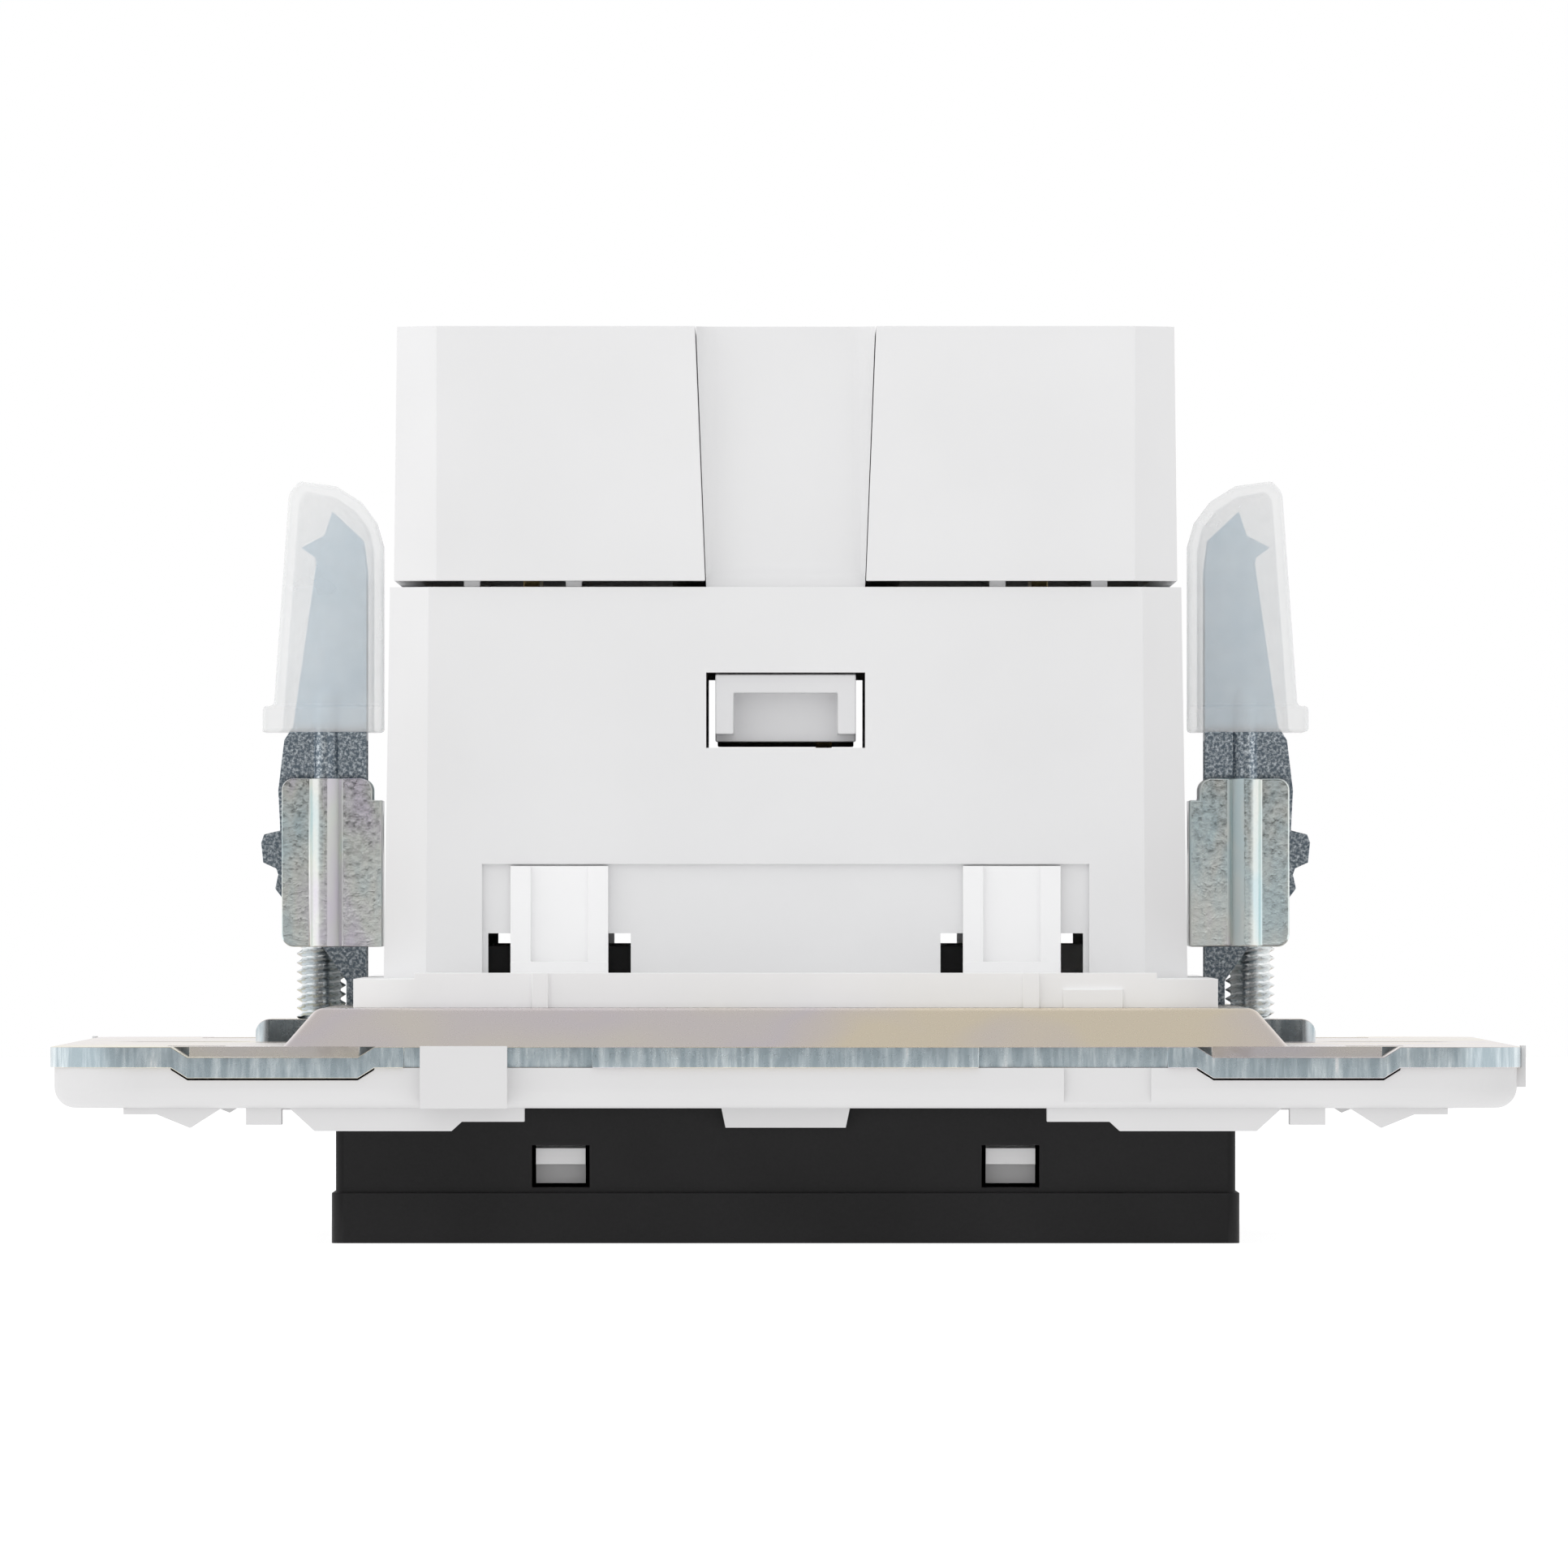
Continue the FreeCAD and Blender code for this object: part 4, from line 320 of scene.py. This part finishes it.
PITCH = 0.45 * MM
THREAD_DEPTH = 0.27 * MM
THREAD_RADIUS = 1.235 * MM
TIP_TAPER = 0.25 * MM       # the core is this much thinner at its tip
TIP_LONG = 0.35 * MM
HEAD_HIGH = 1.7 * MM
HEAD_ROUND = 0.45 * MM      # round of the head's outer edge
HEAD_ROWS = 6               # rows of faces across that round
SLOT_LONG, SLOT_WIDE, SLOT_DEEP = 2.6 * MM, 0.6 * MM, 1.0 * MM
INSET = 0.01 * MM           # keeps the screw inside its CAD box
AROUND = 48                 # points round a screw
STEPS = 10                  # rows per turn of the thread
CREST = (0.0, 0.12, 0.46, 0.54, 0.88, 1.0)   # thread profile: root, flank, crest, flank, root


def thread_height(turn):
    """Height of the thread, 0 to 1, at a share of one turn."""
    turn %= 1.0
    if turn < CREST[1] or turn > CREST[4]:
        return 0.0
    if turn < CREST[2]:
        return (turn - CREST[1]) / (CREST[2] - CREST[1])
    if turn > CREST[3]:
        return (CREST[4] - turn) / (CREST[4] - CREST[3])
    return 1.0


def ring_rows(bm, rows):
    """Faces between rows of vertices that run round an axis."""
    for lower, upper in zip(rows, rows[1:]):
        for index in range(len(lower)):
            after = (index + 1) % len(lower)
            bm.faces.new((lower[index], lower[after], upper[after], upper[index]))


def cross_outline(long, narrow):
    """Corners of a cross slot, anticlockwise."""
    a, b = long / 2, narrow / 2
    return [(a, -b), (a, b), (b, b), (b, a), (-b, a), (-b, b),
            (-a, b), (-a, -b), (-b, -b), (-b, -a), (b, -a), (b, -b)]


def threaded_screw(name, node):
    """A pan head screw with a real helical thread, in the place and size of its node."""
    lowest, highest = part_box(node)
    centre_x, centre_y = (lowest.x + highest.x) / 2, (lowest.y + highest.y) / 2
    head_radius = (highest.x - lowest.x) / 2 - INSET
    start = lowest.z + HEAD_HIGH
    core = THREAD_RADIUS - THREAD_DEPTH
    bm = bmesh.new()

    def ring(z, radius, thread=0.0):
        """A row of vertices; the thread's full height there is added to the radius."""
        row = []
        for index in range(AROUND):
            angle = 2 * math.pi * index / AROUND
            reach = radius
            if thread:
                reach += thread * thread_height(z / PITCH - angle / (2 * math.pi))
            x = centre_x + reach * math.cos(angle)
            y = centre_y + reach * math.sin(angle)
            row.append(bm.verts.new((x, y, z)))
        return row

    rows = []
    for share in range(HEAD_ROWS + 1):
        turn = math.pi / 2 * share / HEAD_ROWS
        rows.append(ring(lowest.z + HEAD_ROUND * (1 - math.cos(turn)),
                         head_radius - HEAD_ROUND + HEAD_ROUND * math.sin(turn)))
    rows.append(ring(start, head_radius))
    rows.append(ring(start, core))
    length = highest.z - start - TIP_LONG
    count = int(length / PITCH * STEPS)
    for row in range(1, count + 1):
        z = start + length * row / count
        # The thread grows over two turns and runs out at the tip.
        fade = min(1.0, (z - start) / (2 * PITCH), (start + length - z) / PITCH + 0.25)
        rows.append(ring(z, core, THREAD_DEPTH * fade))
    rows.append(ring(highest.z - INSET / 2, core - TIP_TAPER))
    ring_rows(bm, rows)
    bm.faces.new(rows[-1])
    # The head's end face with its cross slot.
    cross = [(centre_x + x, centre_y + y) for x, y in cross_outline(SLOT_LONG, SLOT_WIDE)]
    mouth = [bm.verts.new((x, y, lowest.z)) for x, y in cross]
    floor_verts = [bm.verts.new((x, y, lowest.z + SLOT_DEEP)) for x, y in cross]
    ring_rows(bm, [mouth, floor_verts])
    bm.faces.new(floor_verts)
    loops = [[vert.co.copy() for vert in rows[0]], [vert.co.copy() for vert in mouth]]
    flat = rows[0] + mouth
    for triangle in tessellate_polygon(loops):
        bm.faces.new([flat[index] for index in triangle])
    bmesh.ops.recalc_face_normals(bm, faces=bm.faces)
    mesh = bpy.data.meshes.new(name)
    bm.to_mesh(mesh)
    bm.free()
    for face in mesh.polygons:
        face.use_smooth = True
    mesh.materials.append(SCREW_ZINC)
    mesh.set_sharp_from_angle(angle=math.radians(40))
    screw = bpy.data.objects.new(name, mesh)
    bpy.context.scene.collection.objects.link(screw)
    return screw


for side in ("left", "right"):
    screw = threaded_screw(f"threaded_screw_{side}", f"claw_screw_{side}")
    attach(screw, f"screw_{side}")
    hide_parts(f"claw_screw_{side}")


# ---------------------------------------------------------------- studio

SOFT_LEFT, SOFT_RIGHT = 1.14, 0.62     # strength of the soft light that falls from either side
FRONT_DARK, FRONT_STRIP = 0.05, 0.4    # what metal mirrors in front: the dark room and its bright strips
OVERHEAD = 0.62                        # what it mirrors above
FLOOR_HALF = 1.6
FLOOR_GAP = 0.02 * MM


def flat_panel(name, half_x, half_y, material):
    """A single rectangle in the XY plane."""
    mesh = bpy.data.meshes.new(name)
    corners = [(-half_x, -half_y, 0), (half_x, -half_y, 0), (half_x, half_y, 0), (-half_x, half_y, 0)]
    mesh.from_pydata(corners, [], [(0, 1, 2, 3)])
    mesh.materials.append(material)
    panel = bpy.data.objects.new(name, mesh)
    bpy.context.scene.collection.objects.link(panel)
    return panel


def paper(name, colour, glow):
    """Bright stage paper with a faint tone change and a glow of its own."""
    shader = Shader(name)
    tone = shader.noise(0.4, detail=1)
    colours = shader.ramp(tone, [(0.4, tinted(colour, -0.01)), (0.6, tinted(colour, 0.01))])
    shader.link(colours, shader.surface.inputs["Base Color"])
    shader.set(Roughness=0.9, Emission_Color=(1.0, 1.0, 1.0, 1.0), Emission_Strength=glow)
    return shader.material


def studio_world():
    """White all round, a little dimmer on the right; mirrored, it is dark in front with bright strips."""
    world = bpy.data.worlds.new("studio")
    world.use_nodes = True
    tree = world.node_tree
    surface = tree.nodes["Background"]

    def add(kind, **settings):
        made = tree.nodes.new(kind)
        for key, value in settings.items():
            setattr(made, key, value)
        return made

    def spread(source, low, high, to_low, to_high):
        made = add("ShaderNodeMapRange", interpolation_type="SMOOTHSTEP")
        for key, value in zip(("From Min", "From Max", "To Min", "To Max"), (low, high, to_low, to_high)):
            made.inputs[key].default_value = value
        tree.links.new(source, made.inputs["Value"])
        return made.outputs["Result"]

    def mixed(factor, one, other):
        made = add("ShaderNodeMix", data_type="FLOAT")
        tree.links.new(factor, made.inputs[0])
        for socket, value in ((made.inputs[2], one), (made.inputs[3], other)):
            if isinstance(value, float):
                socket.default_value = value
            else:
                tree.links.new(value, socket)
        return made.outputs[0]

    towards = add("ShaderNodeTexCoord").outputs["Generated"]
    axes = add("ShaderNodeSeparateXYZ")
    tree.links.new(towards, axes.inputs["Vector"])
    soft = spread(axes.outputs["X"], 0.1, 0.95, SOFT_LEFT, SOFT_RIGHT)
    strips = add("ShaderNodeTexNoise")
    strips.inputs["Scale"].default_value = 9.0
    strips.inputs["Detail"].default_value = 1.0
    flat = add("ShaderNodeMapping")
    flat.inputs["Scale"].default_value = (1.0, 0.0, 0.12)
    tree.links.new(towards, flat.inputs["Vector"])
    tree.links.new(flat.outputs["Vector"], strips.inputs["Vector"])
    front = spread(strips.outputs["Fac"], 0.52, 0.66, FRONT_DARK, FRONT_STRIP)
    overhead = spread(axes.outputs["Z"], 0.25, 0.85, 1.0, OVERHEAD)
    ahead = spread(axes.outputs["Y"], -0.9, -0.45, 1.0, 0.0)
    mirrored = mixed(ahead, overhead, front)
    rays = add("ShaderNodeLightPath")
    seen = mixed(rays.outputs["Is Glossy Ray"], soft, mirrored)
    tree.links.new(mixed(rays.outputs["Is Camera Ray"], seen, 1.0), surface.inputs["Strength"])
    surface.inputs["Color"].default_value = (1.0, 1.0, 1.0, 1.0)
    return world


floor = flat_panel("floor", FLOOR_HALF, FLOOR_HALF, paper("floor_paper", (0.2, 0.2, 0.2), 0.9))
floor.location.z = cad_box[0][2] - FLOOR_GAP
bpy.context.scene.world = studio_world()
bpy.context.scene.view_settings.view_transform = "Standard"


# ---------------------------------------------------------------- camera

CAMERA_DISTANCE = 1.395     # from the plate's near edge
CAMERA_HEIGHT = 0.01667
CAMERA_LENS = 665.4
CAMERA_TILT = 0.2278        # degrees up from level
CAMERA_TURN = 0.0032
near_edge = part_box("mounting_plate")[0].y
camera_data = bpy.data.cameras.new("camera")
camera_data.sensor_width = 36.0
camera_data.lens = CAMERA_LENS
camera_data.clip_start = 0.01
camera_data.clip_end = 20.0
camera = bpy.data.objects.new("camera", camera_data)
camera.location = (0.0, near_edge - CAMERA_DISTANCE, CAMERA_HEIGHT)
camera.rotation_euler = (math.radians(90.0 + CAMERA_TILT), 0.0, math.radians(CAMERA_TURN))
bpy.context.scene.collection.objects.link(camera)
bpy.context.scene.camera = camera
